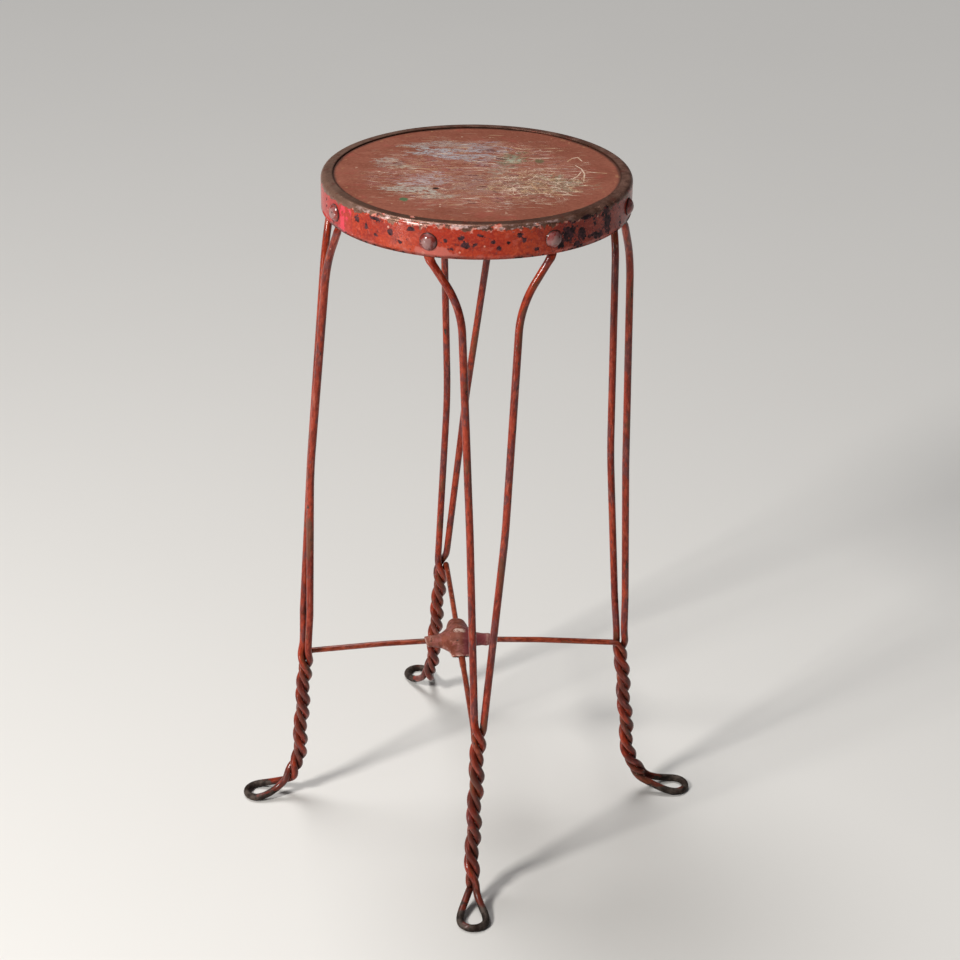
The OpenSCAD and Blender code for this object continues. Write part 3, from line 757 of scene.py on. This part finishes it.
ankle_side = [-17*mm, -11*mm, 31*mm, -10*mm]
ankle_r = 62*mm
toe_out = [259.7*mm, 253.7*mm, 269.7*mm, 258.7*mm]
toe_side = [-19*mm, -13*mm, 44*mm, -14*mm]
loop_r = 14*mm
sole_z = 3.5*mm
splay_len = 60*mm
soft_turn = 4*mm
waist_r = 900*mm
knot_r = 200*mm
strand_r = 5.0*mm
ring_step = 2.2*mm
wire_step = 4*mm
wire_sides = 24
loop_steps = 48
groove_r = 4.6*mm
groove_depth = 3.2*mm
eye_neck = 0.72
eye_squared = 0.55
flat_end_z = band_bottom + 0.5*mm
round_z = band_bottom - 8*mm
crook_z = band_bottom - 3*mm


def smooth(t):
    """A soft step from 0 to 1."""
    t = min(max(t, 0.0), 1.0)
    return t*t*(3 - 2*t)


def ramp(x):
    """A length that stays at 0 up to x = 0 and then grows with x, with a soft start."""
    return x if x > 8*soft_turn else soft_turn*math.log1p(math.exp(x/soft_turn))


def corner(a, b, c, radius, steps):
    """Points of the arc that rounds the corner b, as far as there is room for its radius."""
    p = (a - b).normalized()
    q = (c - b).normalized()
    half = p.angle(q)/2
    turn = math.pi - 2*half
    radius = min(radius, 0.95*min((a - b).length, (c - b).length)*math.tan(half))
    centre = b + (p + q).normalized()*(radius/math.sin(half))
    first = b + p*(radius/math.tan(half)) - centre
    last = b + q*(radius/math.tan(half)) - centre
    shares = [k/steps for k in range(steps + 1)]
    return [centre + (first*math.sin((1 - t)*turn) + last*math.sin(t*turn))/math.sin(turn) for t in shares]


def route(points, radii, steps):
    """A way through corner points, each rounded with its own radius."""
    way = [points[0]]
    for k in range(1, len(points) - 1):
        before = points[0] if k == 1 else (points[k - 1] + points[k])/2
        after = points[-1] if k == len(points) - 2 else (points[k] + points[k + 1])/2
        way += corner(before, points[k], after, radii[k], steps[k])
    return way + [points[-1]]


class Line:
    """The middle line of a leg from a little above its knot to its toe. Lengths count from the knot."""

    def __init__(self, leg):
        self.leg = leg
        self.knot = Vector((knot_out[leg], knot_side[leg], knot_z[leg]))
        self.neck = Vector((neck_out[leg], neck_side[leg], neck_z))
        self.waist = self.knot.lerp(self.neck, (waist_z - self.knot.z)/(self.neck.z - self.knot.z))
        self.waist += Vector((waist_bow[leg], waist_side[leg], 0))
        self.ankle = Vector((knot_out[leg] + ankle_out[leg], ankle_side[leg], sole_z))
        self.toe = Vector((toe_out[leg], toe_side[leg], sole_z))
        start = self.knot + (self.waist - self.knot).normalized()*splay_len
        self.points = route([start, self.knot, self.ankle, self.toe], [0, knot_r, ankle_r, 0], [0, 16, 60, 0])
        self.marks = [-splay_len]
        for a, b in zip(self.points, self.points[1:]):
            self.marks.append(self.marks[-1] + (b - a).length)
        self.length = self.marks[-1]
        foot = self.toe - self.ankle
        self.foot_side = Vector((-foot.y, foot.x, 0)).normalized()

    def at(self, s):
        """The point at a length."""
        if s <= self.marks[0]:
            return self.points[0]
        for k in range(1, len(self.marks)):
            if s < self.marks[k]:
                share = (s - self.marks[k - 1])/(self.marks[k] - self.marks[k - 1])
                return self.points[k - 1].lerp(self.points[k], share)
        return self.points[-1]

    def beside(self, s, distance, turn):
        """A point beside the line, turned round it from outwards towards its left."""
        along = (self.at(s + 3*mm) - self.at(s - 3*mm)).normalized()
        across = Vector((0, 1, 0)).lerp(self.foot_side, smooth(s/twist_end(self.leg))).normalized()
        y = (across - along*across.dot(along)).normalized()
        x = along.cross(y)
        return self.at(s) + distance*(math.cos(turn)*x + math.sin(turn)*y)


def twist_len(leg):
    return twist_turns*twist_pitch[leg]


def lead_len(leg):
    return twist_pitch[leg]/3


def twist_end(leg):
    return twist_len(leg) - lead_len(leg)


def strand_turn(leg, side, s):
    """How far a strand has turned round the line at a length."""
    lead = lead_len(leg) if side < 0 else lead_len(leg)/2
    rate = 2*math.pi/twist_pitch[leg]
    start = math.radians(side*90 + pair_turn[leg])
    return start + rate*(ramp(s + lead - math.radians(pair_turn[leg])/rate) - ramp(s + lead - twist_len(leg)))


def strand_out(leg, s, widest):
    """How far a strand lies from the line at a length."""
    slope = (waist_half[leg] - strand_r)/(waist_z - knot_z[leg] - lead_len(leg))
    opened = smooth((s - twist_end(leg))/(widest - twist_end(leg)))
    return strand_r + slope*ramp(-s - lead_len(leg)) + (loop_r - strand_r)*opened


def strand_point(line, side, s, widest):
    """The middle of a strand at a length."""
    return line.beside(s, strand_out(line.leg, s, widest), strand_turn(line.leg, side, s))


def upright_point(side, z):
    """The middle of the wire at its flattened end, or just below it."""
    r = eye_face - eye_t/2 + crook_out*smooth((flat_end_z - z)/(flat_end_z - round_z))
    half = math.radians(between_rivets/2)
    return Vector((r*math.cos(half), side*r*math.sin(half), z))


def apart(distance, turn):
    """A step sideways and outwards, at a turn in degrees."""
    return distance*Vector((math.cos(math.radians(turn)), math.sin(math.radians(turn)), 0))


def upright(line, side):
    """One upright, from the top of its eye down to where the strands come together."""
    leg = line.leg
    widest = line.length - loop_r
    eye_steps = 12
    heights = [rivet_z + eye_r*math.cos(math.pi/2*k/eye_steps) for k in range(1, eye_steps + 1)]
    tops = [upright_point(side, z) for z in heights]
    ways = route([upright_point(side, flat_end_z),
                  upright_point(side, crook_z),
                  line.neck + apart(neck_half, side*90 + waist_turn[leg]/4),
                  line.waist + apart(waist_half[leg], side*90 + waist_turn[leg]),
                  strand_point(line, side, -splay_len, widest)],
                 [0, crook_r, neck_bend_r, waist_r, 0], [0, 8, 40, 24, 0])
    return tops + ways


def strand(line, side, widest):
    """One strand through the twist, to the widest place of the loop."""
    steps = math.ceil((widest + splay_len)/ring_step)
    lengths = [-splay_len + k*(widest + splay_len)/steps for k in range(1, steps + 1)]
    return [strand_point(line, side, s, widest) for s in lengths]


def loop_end(line, widest, from_side):
    """The round end of the foot's loop."""
    ways = []
    for k in range(1, loop_steps):
        a = math.pi*k/loop_steps
        side = from_side if a < math.pi/2 else -from_side
        ways.append(line.beside(widest + loop_r*math.sin(a), abs(loop_r*math.cos(a)), side*math.pi/2))
    return ways


def leg_turned(leg):
    """Turns a leg's own directions into the stool's."""
    return Matrix.Rotation(leg_angle(leg), 3, "Z")


def leg_points(leg):
    """The middle of the wire of a leg, from one eye to the other."""
    line = Line(leg)
    widest = line.length - loop_r
    from_side = -1 if math.sin(strand_turn(leg, -1, widest)) < 0 else 1
    turn = leg_turned(leg)
    ways = upright(line, -1) + strand(line, -1, widest) + loop_end(line, widest, from_side)
    ways += strand(line, 1, widest)[::-1] + upright(line, 1)[::-1]
    return [turn @ point for point in ways]


def evened(points, step):
    """The same way with a point at least every step."""
    ways = [points[0]]
    for a, b in zip(points, points[1:]):
        pieces = max(1, math.ceil((b - a).length/step))
        ways += [a.lerp(b, k/pieces) for k in range(1, pieces + 1)]
    return ways


def wire(points, radius, sides, line, leg):
    """Round wire bent along points. For the paint, each corner also knows its place on the straight wire
    and how deep it lies in the twist."""
    curve = bpy.data.curves.new("wire", "CURVE")
    curve.dimensions = "3D"
    curve.bevel_depth = radius
    curve.bevel_resolution = sides//2 - 2
    spline = curve.splines.new("POLY")
    spline.points.add(len(points) - 1)
    for target, point in zip(spline.points, points):
        target.co = (*point, 1)
    drawn = bpy.data.objects.new("wire", curve)
    mesh = bpy.data.meshes.new_from_object(drawn)
    shape = bmesh.new()
    shape.from_mesh(mesh)
    bpy.data.objects.remove(drawn)
    bpy.data.curves.remove(curve)
    bpy.data.meshes.remove(mesh)
    shape.verts.ensure_lookup_table()
    on_wire = shape.verts.layers.float_vector.new("on_wire")
    in_groove = shape.verts.layers.float.new("in_groove")
    middle_line = KDTree(len(line.points))
    for k, point in enumerate(line.points):
        middle_line.insert(leg_turned(leg) @ point, k)
    middle_line.balance()
    length = 0
    for k, ring in enumerate(rings_of(shape, points)):
        length += (points[k] - points[k - 1]).length if k else 0
        for j, point in enumerate(ring):
            around = 2*math.pi*j/len(ring)
            point[on_wire] = (radius*math.cos(around), radius*math.sin(around), length + leg)
            deep = middle_line.find(point.co)[2]
            point[in_groove] = 1 - smooth((deep - groove_r)/groove_depth)
    return shape


def rings_of(shape, points):
    """The corners of each ring of a wire."""
    sides = len(shape.verts)//len(points)
    return [shape.verts[k*sides:(k + 1)*sides] for k in range(len(points))]


def carried(where, name):
    """The outputs of an attribute that the mesh carries."""
    made = where.id_data.nodes.new("ShaderNodeAttribute")
    made.attribute_name = name
    return made.outputs


def wire_material(name, dull, bright, mauve, bare_to):
    """Glossy red-brown paint, thin over a mauve coat, darker in the twist with dirt and painted shade in its
    grooves, with painted glints, and rubbed off near the floor.
    """
    material, shader, where = new_material(name, 0.10, 0.5, 0.10)
    shader["Coat IOR"].default_value = 1.4
    z = split(where)["Z"]
    way = carried(where, "on_wire")["Vector"]
    groove = carried(where, "in_groove")["Fac"]

    paint = clouded(stretched(way, (110, 110, 16)), 1.0, dull, bright, 0.36, 0.64, 5.0)
    paint = over(paint, mauve, marks(stretched(way, (85, 85, 30)), 0.535, 0.04), 0.85)
    fine_tones = clouds(stretched(way, (380, 380, 150)), 1.0)
    paint = over(paint, (0.090, 0.010, 0.005), fading(fine_tones, 0.38, 0.48), 0.6)
    paint = over(paint, (0.450, 0.085, 0.040), eased(fine_tones, 0.54, 0.62), 0.35)
    paint = over(paint, (0.420, 0.110, 0.070), marks(stretched(way, (300, 300, 42)), 0.60, 0.05), 0.6)
    paint = over(paint, (0.120, 0.050, 0.022), marks(stretched(way, (60, 60, 14), 0.4), 0.56, 0.06), 0.65)
    twisted = fading(z, 150*mm, 205*mm)
    dark = both(0.72, eased(clouds(where, 60.0), 0.3, 0.6))
    paint = over(paint, (0.078, 0.023, 0.017), twisted, dark)
    streaks = both(marks(stretched(way, (210, 210, 60)), 0.58, 0.03), 0.7)
    paint = over(paint, (0.270, 0.060, 0.045), twisted, streaks)
    # Painted highlights: small pale glints along the wire.
    painted_glints = both(specks(stretched(way, (230, 230, 120)), 0.30, 0.07), eased(clouds(way, 22.0), 0.45, 0.55))
    paint = over(paint, (0.560, 0.300, 0.230), painted_glints, 0.75)

    bare = fading(added(z, wobble(where, 0.030, 75.0, 6.0)), bare_to, bare_to + 3*mm)
    chips = either(marks(stretched(way, (240, 240, 95)), 0.645, 0.02),
                   specks(stretched(way, (190, 190, 100)), 0.34, 0.09))
    open_steel = either(chips, bare)
    steel = clouded(where, 120.0, (0.026, 0.019, 0.016), (0.095, 0.072, 0.060), detail=6.0, roughness=0.65)
    colour = mixed(open_steel, paint, steel)
    # Dirt and painted shade: darker in the grooves between the strands of the twist.
    dirt = both(groove, eased(clouds(where, 110.0, 5.0), 0.25, 0.55))
    colour = over(colour, (0.022, 0.010, 0.007), dirt, 0.6)
    dust = both(groove, marks(stretched(where, 240), 0.62, 0.03))
    worn = either(open_steel, dirt)
    linked(shader, {"Base Color": over(colour, (0.230, 0.160, 0.110), dust, 0.6),
                    "Roughness": eased(worn, 0.0, 1.0, 0.34, 0.62),
                    "Metallic": both(bare, 0.5),
                    "Coat Weight": eased(worn, 0.0, 1.0, 0.5, 0.0)})
    skin = clouds(stretched(way, (330, 330, 90)), 1.0)
    raised(shader, added(both(open_steel, -0.6), skin), 0.14*mm)
    return material


def flattened(shape, points, leg):
    """Hammers both ends of a leg's wire into flat eyes that lie against the band."""
    rings = rings_of(shape, points)
    for middle, ring in zip(points, rings):
        if middle.z < round_z:
            continue
        side = 1 if (Matrix.Rotation(-leg_angle(leg), 3, "Z") @ middle).y > 0 else -1
        out = Matrix.Rotation(rivet_angle(leg, side), 3, "Z") @ Vector((1, 0, 0))
        wide = Vector((-out.y, out.x, 0))
        flat = 1 - smooth((flat_end_z - middle.z)/(flat_end_z - round_z))
        above = middle.z - rivet_z
        disc = math.sqrt(max(eye_r**2 - above**2, (0.3*mm)**2))
        stem = wire_r + (eye_neck*eye_r - wire_r)*flat
        half_w = disc if above > 0 else max(disc, stem)
        half_t = wire_r + (eye_t/2 - wire_r)*flat
        for point in ring:
            off = point.co - middle
            a = off.dot(wide)/wire_r
            b = off.dot(out)/wire_r
            size = max(math.hypot(a, b), 1e-6)
            a, b = a/size, b/size
            squared = 1 - eye_squared*flat
            a = math.copysign(abs(a)**squared, a)
            b = math.copysign(abs(b)**squared, b)
            point.co = middle + wide*(a*half_w) + out*(b*half_t) + Vector((0, 0, off.z*(1 - flat)))


def capped(shape):
    """Closes the cut ends of a wire."""
    bmesh.ops.holes_fill(shape, edges=[e for e in shape.edges if e.is_boundary], sides=0)
    bmesh.ops.recalc_face_normals(shape, faces=shape.faces)


def leg_shape(leg):
    """One leg: the wire, its flat eyes, and its sole worn flat on the floor."""
    points = evened(leg_points(leg), wire_step)
    shape = wire(points, wire_r, wire_sides, Line(leg), leg)
    flattened(shape, points, leg)
    capped(shape)
    for point in shape.verts:
        point.co.z = max(point.co.z, 0)
    return shape


leg_paint = wire_material("worn_leg_paint", (0.175, 0.014, 0.005), (0.330, 0.036, 0.012),
                          (0.130, 0.034, 0.034), 10*mm)
leg_names = ["front", "right", "back", "left"]
for leg, where in enumerate(leg_names):
    piece = finished(where + "_wire_leg", leg_shape(leg), leg_paint)
    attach(piece, "root")
    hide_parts("leg_" + where)

# Stretchers
# Four thinner steel wires run from the hub to the legs. Each is held in an arm of the hub, bends down at
# its leg and is twisted in with it as the third strand. It is cut off where the foot's loop opens.
tie_wire_r = 3.175*mm
tie_strand_r = 3.85*mm
tie_loose = 0.9*mm
tie_settle = 16*mm
tie_bend_r = 12*mm
tie_middle_r = 400*mm
tie_bow = 1.5*mm
tie_start = 6*mm
tie_lead = 8*mm
tie_short = 2*mm
tie_sides = 20
thick_paint = 0.20
thick_from = 36*mm
thick_to = 64*mm
hub_centre = Vector((-14*mm, 3*mm, 204*mm))


def tie_strand(line, s):
    """A point of the stretcher where it is twisted in with its leg."""
    out = tie_strand_r + tie_loose*smooth(1 - s/tie_settle)
    return line.beside(s, out, 2*math.pi*s/twist_pitch[line.leg] - math.pi/2)


def hub_in_leg(leg):
    """The middle of the hub, in the leg's own directions."""
    return Matrix.Rotation(-leg_angle(leg), 3, "Z") @ hub_centre


def tie_corner(line):
    """Where a stretcher bends down into the twist."""
    first = tie_strand(line, 0)
    return first - (tie_strand(line, 1*mm) - first).normalized()*tie_lead


def tie_middle(line):
    """The middle of a stretcher's level part."""
    return (hub_in_leg(line.leg) + tie_corner(line))/2 + Vector((0, 0, tie_bow))


def tie_heading(line):
    """The direction in which a stretcher leaves the hub."""
    return (tie_middle(line) - hub_in_leg(line.leg)).normalized()


def tie_points(leg):
    """The middle of a stretcher's wire, from inside the hub to the foot."""
    line = Line(leg)
    end = twist_end(leg) - tie_short
    steps = math.ceil(end/ring_step)
    ways = route([hub_in_leg(leg) + tie_heading(line)*tie_start, tie_middle(line), tie_corner(line),
                  tie_strand(line, 0)], [0, tie_middle_r, tie_bend_r, 0], [0, 20, 24, 0])
    ways += [tie_strand(line, end*k/steps) for k in range(1, steps + 1)]
    turn = leg_turned(leg)
    return [turn @ point for point in ways]


def painted_thick(shape, points):
    """Gathers thick paint round a stretcher just outside the hub's mouth."""
    for middle, ring in zip(points, rings_of(shape, points)):
        reach = (middle - hub_centre).length
        swell = thick_paint*smooth((reach - thick_from)/(6*mm))*smooth((thick_to - reach)/(9*mm))
        for point in ring:
            point.co = middle + (point.co - middle)*(1 + swell)


tie_paint = wire_material("worn_stretcher_paint", (0.175, 0.024, 0.009), (0.270, 0.050, 0.020),
                          (0.225, 0.072, 0.055), 8*mm)
for leg, where in enumerate(leg_names):
    points = evened(tie_points(leg), wire_step)
    shape = wire(points, tie_wire_r, tie_sides, Line(leg), leg)
    if where == "front":
        painted_thick(shape, points)
    capped(shape)
    piece = finished(where + "_wire_stretcher", shape, tie_paint)
    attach(piece, "root")
    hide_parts("stretcher_" + where)

# Hub
# A small iron casting that holds the four stretchers together: a low pyramid whose corners run out in an arm
# over each wire, with a mouth at the arm's end. It has thick pinkish paint, rubbed down to steel at the top,
# where a painted highlight lies too; painted shade darkens its right side, its underside and its mouths.
hub_rise = 14*mm
hub_top_r = 4.5*mm
hub_reach = 0.5
arm_len = [44*mm, 37*mm, 38*mm, 39*mm]
arm_end_r = [5*mm, 6.2*mm, 5.6*mm, 5.4*mm]
arm_end_low = [5*mm, 6.2*mm, 5.6*mm, 7.2*mm]
arm_end_w = [11.4*mm, 6.2*mm, 9.4*mm, 5.4*mm]
arm_root_low = [10*mm, 9.4*mm, 9.4*mm, 12.5*mm]
arm_root_w = [15.5*mm, 12.5*mm, 17*mm, 17*mm]
arm_flare = [1.0, 1.5, 0.8, 1.5]
arm_bead = [0, 0.9*mm, 0, 0]
arm_hood = [1.3, 0.1, 0.1, 0.3]
mouth_wall = 1.5*mm
mouth_depth = [20*mm, 5*mm, 5*mm, 6*mm]
hub_grain = 0.6*mm
fine_skin = 0.16*mm
coarse_skin = 0.22*mm
worn_depth = 0.1*mm
softenings = 9


def along_arm(leg):
    """The place of an arm: its own Z axis runs along the wire, and its X axis points up."""
    line = Line(leg)
    z = (leg_turned(leg) @ tie_heading(line)).normalized()
    y = z.cross(Vector((0, 0, 1))).normalized()
    x = y.cross(z)
    return Matrix.Translation(hub_centre) @ Matrix((x, y, z)).transposed().to_4x4()


def arm_section(leg, share, angle, wall=0):
    """Half the width of an arm in a direction round it: ridged at the pyramid, narrower towards its end."""
    near_end = 1 - (1 - share)**arm_flare[leg]
    bead = arm_bead[leg]*math.exp(-((share - 0.88)/0.09)**2)
    tall = hub_rise + (arm_end_r[leg] - hub_rise)*near_end + bead - wall
    wide = arm_root_w[leg] + (arm_end_w[leg] - arm_root_w[leg])*near_end + bead - wall
    deep = arm_root_low[leg] + (arm_end_low[leg] - arm_root_low[leg])*near_end + bead - wall
    up = math.cos(angle)
    power = 1.25 + 0.75*share if up > 0 else 2.4 - 0.4*share
    return (abs(up/(tall if up > 0 else deep))**power + abs(math.sin(angle)/wide)**power)**(-1/power)


def arm(leg):
    """One arm with its open mouth, whose upper side reaches out further than the lower."""
    length = arm_len[leg]
    outline = [(0, 0.25*length), (1, 0.25*length)] + [(1, length*(0.25 + 0.75*k/24)) for k in range(1, 24)]
    outline += [(1, length - 0.6*mm), (0.95, length - 0.1*mm), (2.05, length), (2, length - 0.6*mm),
                (2, length - mouth_depth[leg]), (0, length - mouth_depth[leg])]
    shape = spun(outline, 64, near=0.0001*mm)
    for point in shape.verts:
        r = point.co.xy.length
        turn = math.atan2(point.co.y, point.co.x)
        share = point.co.z/length
        inner = r > 1.5
        half = arm_section(leg, share, turn, mouth_wall if inner else 0)*(r - 1 if inner else r)
        slant = half*math.cos(turn) - arm_end_r[leg] + (mouth_wall if inner else 0)
        along = point.co.z + min(slant, 0)*arm_hood[leg]*smooth(2*share - 0.9)
        point.co = (half*math.cos(turn), half*math.sin(turn), along)
    bmesh.ops.recalc_face_normals(shape, faces=shape.faces)
    bmesh.ops.transform(shape, matrix=along_arm(leg), verts=shape.verts)
    return shape


def pyramid():
    """The body of the hub, drawn tight over its top and the ridged roots of its arms."""
    shape = bmesh.new()
    for k in range(16):
        turn = 2*math.pi*k/16
        shape.verts.new(hub_centre + Vector((hub_top_r*math.cos(turn), hub_top_r*math.sin(turn), hub_rise)))
    for leg in range(4):
        for k in range(24):
            turn = 2*math.pi*k/24
            r = arm_section(leg, hub_reach, turn)
            root = Vector((r*math.cos(turn), r*math.sin(turn), hub_reach*arm_len[leg]))
            shape.verts.new(along_arm(leg) @ root)
    inner = bmesh.ops.convex_hull(shape, input=shape.verts)["geom_interior"]
    bmesh.ops.delete(shape, geom=[v for v in inner if isinstance(v, bmesh.types.BMVert)], context="VERTS")
    return shape


def cast_hub():
    """Pyramid and arms run together into one casting, with soft corners and a cast skin."""
    mould = bpy.data.meshes.new("hub_mould")
    joined = bmesh.new()
    for part in [pyramid()] + [arm(leg) for leg in range(4)]:
        poured(joined, part)
    joined.to_mesh(mould)
    joined.free()
    holder = bpy.data.objects.new("hub_mould", mould)
    bpy.context.collection.objects.link(holder)
    melt = holder.modifiers.new("melt", "REMESH")
    melt.mode = "VOXEL"
    melt.voxel_size = hub_grain
    cast = bpy.data.meshes.new_from_object(holder.evaluated_get(bpy.context.evaluated_depsgraph_get()))
    shape = bmesh.new()
    shape.from_mesh(cast)
    bpy.data.objects.remove(holder)
    bpy.data.meshes.remove(mould)
    bpy.data.meshes.remove(cast)
    arms = [along_arm(leg).inverted() for leg in range(4)]
    soft = []
    for point in shape.verts:
        places = [arms[leg] @ point.co for leg in range(4)]
        if all(at.z < 0.6*arm_len[leg] or at.x > 0.8*arm_end_r[leg] and at.z < 0.8*arm_len[leg]
               for leg, at in enumerate(places)):
            soft.append(point)
    for verts in [shape.verts] + [soft]*softenings:
        bmesh.ops.smooth_vert(shape, verts=verts, factor=0.5,
                              use_axis_x=True, use_axis_y=True, use_axis_z=True)
    shape.normal_update()
    for point in shape.verts:
        skin = fine_skin*noise.noise(point.co*260) + coarse_skin*noise.noise(point.co*90)
        point.co += point.normal*(skin - worn_depth)
    worn_edge = shape.verts.layers.float.new("worn_edge")
    mouth_shade = shape.verts.layers.float.new("mouth_shade")
    bends = {point: sum(e.calc_face_angle_signed(0) for e in point.link_edges) for point in shape.verts}
    for _ in range(3):
        near = {point: sum(bends[e.other_vert(point)] for e in point.link_edges)/len(point.link_edges)
                for point in shape.verts}
        bends = {point: (bends[point] + near[point])/2 for point in shape.verts}
    for point in shape.verts:
        point[worn_edge] = smooth((bends[point] - 0.10)/0.30)
        for leg in range(4):
            # How far each point lies inside an arm's mouth, for the painted shade there.
            at = arms[leg] @ point.co
            facing = arms[leg].to_3x3() @ point.normal
            if at.z > 0.3*arm_len[leg] and at.xy.length < 1.3*arm_end_w[leg]:
                inward = -(at.x*facing.x + at.y*facing.y)/max(at.xy.length, 0.1*mm)
                flat_end = smooth((facing.z - 0.6)/0.2)*smooth((arm_end_r[leg] - at.xy.length)/(1*mm))
                point[mouth_shade] = max(point[mouth_shade], smooth((inward + 0.1)/0.4), flat_end)
    bmesh.ops.recalc_face_normals(shape, faces=shape.faces)
    return shape


def hub_material():
    """Thick pinkish brown-red paint on cast iron, blotchy and worn on its ridges, with a painted highlight on
    the worn top and painted shade on its right side, underneath and in its mouths.
    """
    material, shader, where = new_material("worn_hub_paint", 0.2)
    x, _, z = split(where)
    paint = clouded(where, 70.0, (0.130, 0.032, 0.018), (0.215, 0.060, 0.036), 0.36, 0.64, 6.0, 0.65)
    paint = over(paint, (0.320, 0.125, 0.090), marks(stretched(where, 150), 0.55, 0.05), 0.6)
    paint = over(paint, (0.290, 0.085, 0.075), marks(stretched(where, 110, 0.8), 0.52, 0.10), 0.55)
    # Painted shade: the right side of the hub is darker and more mauve.
    right = eased(added(x, both(clouds(where, 90.0), 4*mm)), -10*mm, -3*mm)
    paint = over(paint, (0.185, 0.034, 0.050), right, 0.6)
    rubbed = both(carried(where, "worn_edge")["Fac"], marks(stretched(where, 190), 0.44, 0.08))
    paint = over(paint, (0.480, 0.280, 0.230), rubbed, 0.7)
    # Worn steel and a painted highlight: a pale patch on the top.
    top = spot(where, stretched(where, 150), (-13.5, 0, 218), (7, 3.6, 3), 2.0)
    worn_top_and_highlight = both(top, marks(stretched(where, 240), 0.42, 0.06))
    paint = over(paint, (0.600, 0.430, 0.360), worn_top_and_highlight, 0.85)
    chips = either(marks(stretched(where, 230), 0.655, 0.02), specks(stretched(where, 200), 0.36, 0.09))
    colour = over(paint, (0.035, 0.018, 0.014), chips, 0.85)
    # Painted shade: darker underneath, below the arms.
    under = fading(added(z, both(clouds(where, 120.0), 3*mm)), 196*mm, 200*mm)
    colour = over(colour, (0.095, 0.030, 0.024), under, 0.55)
    # Painted shade: nearly black inside the mouths.
    inside = carried(where, "mouth_shade")["Fac"]
    linked(shader, {"Base Color": over(colour, (0.020, 0.009, 0.007), inside, 0.9),
                    "Roughness": eased(either(rubbed, chips), 0.0, 1.0, 0.48, 0.38)})
    raised(shader, added(both(chips, -0.8), clouds(where, 420.0)), 0.3*mm)
    return material


hub = finished("cast_hub", cast_hub(), hub_material())
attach(hub, "root")
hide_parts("hub")

# Floor, light and camera
floor_mesh = bmesh.new()
bmesh.ops.create_grid(floor_mesh, x_segments=1, y_segments=1, size=30)
floor_material, floor_shader, floor_where = new_material("pale_floor")
tone = mixed(clouds(floor_where, 1.2), (0.72, 0.70, 0.67), (0.75, 0.73, 0.70))
linked(floor_shader, {"Base Color": tone})
floor_shader["Roughness"].default_value = 0.7
floor = finished("pale_floor", floor_mesh, floor_material)

world = bpy.data.worlds.new("soft_room")
world.use_nodes = True
world.node_tree.nodes["Background"].inputs["Color"].default_value = (0.93, 0.95, 1.0, 1)
world.node_tree.nodes["Background"].inputs["Strength"].default_value = 0.08
bpy.context.scene.world = world
bpy.context.scene.view_settings.view_transform = "Standard"


def soft_light(name, place, target, width, power, colour, height=None):
    """A soft light that faces a place."""
    lamp = bpy.data.lights.new(name, "AREA")
    lamp.shape = "RECTANGLE"
    lamp.size = width
    lamp.size_y = height or width
    lamp.energy = power
    lamp.color = colour
    holder = bpy.data.objects.new(name, lamp)
    holder.location = place
    holder.rotation_euler = (Vector(target) - Vector(place)).to_track_quat("-Z", "Y").to_euler()
    bpy.context.collection.objects.link(holder)


soft_light("window_light", (-1.9, -1.7, 2.3), (0, 0, 0.45), 0.55, 84, (1.0, 0.985, 0.955))
soft_light("side_strip", (-2.1, -1.5, 0.35), (0, 0, 0.45), 0.12, 12, (1.0, 0.985, 0.955), 0.7)
even_data = bpy.data.lights.new("even_light", "SUN")
even_data.energy = 1.7
even_data.angle = math.radians(28)
even_light = bpy.data.objects.new("even_light", even_data)
even_light.rotation_euler = (math.radians(-18), math.radians(-14), 0)
bpy.context.collection.objects.link(even_light)

camera_data = bpy.data.cameras.new("photo_camera")
camera_data.sensor_width = 36
camera_data.lens = 83.02
camera = bpy.data.objects.new("photo_camera", camera_data)
camera_yaw = math.radians(0.293)
camera_pitch = math.radians(26.875)
camera_roll = math.radians(0.814)
camera.location = (18.6*mm, -2151.0*mm, 1497.9*mm)
camera_aim = Matrix.Rotation(camera_yaw, 3, "Z") @ Matrix.Rotation(math.radians(90) - camera_pitch, 3, "X")
camera.rotation_euler = (camera_aim @ Matrix.Rotation(camera_roll, 3, "Z")).to_euler()
bpy.context.collection.objects.link(camera)
bpy.context.scene.camera = camera
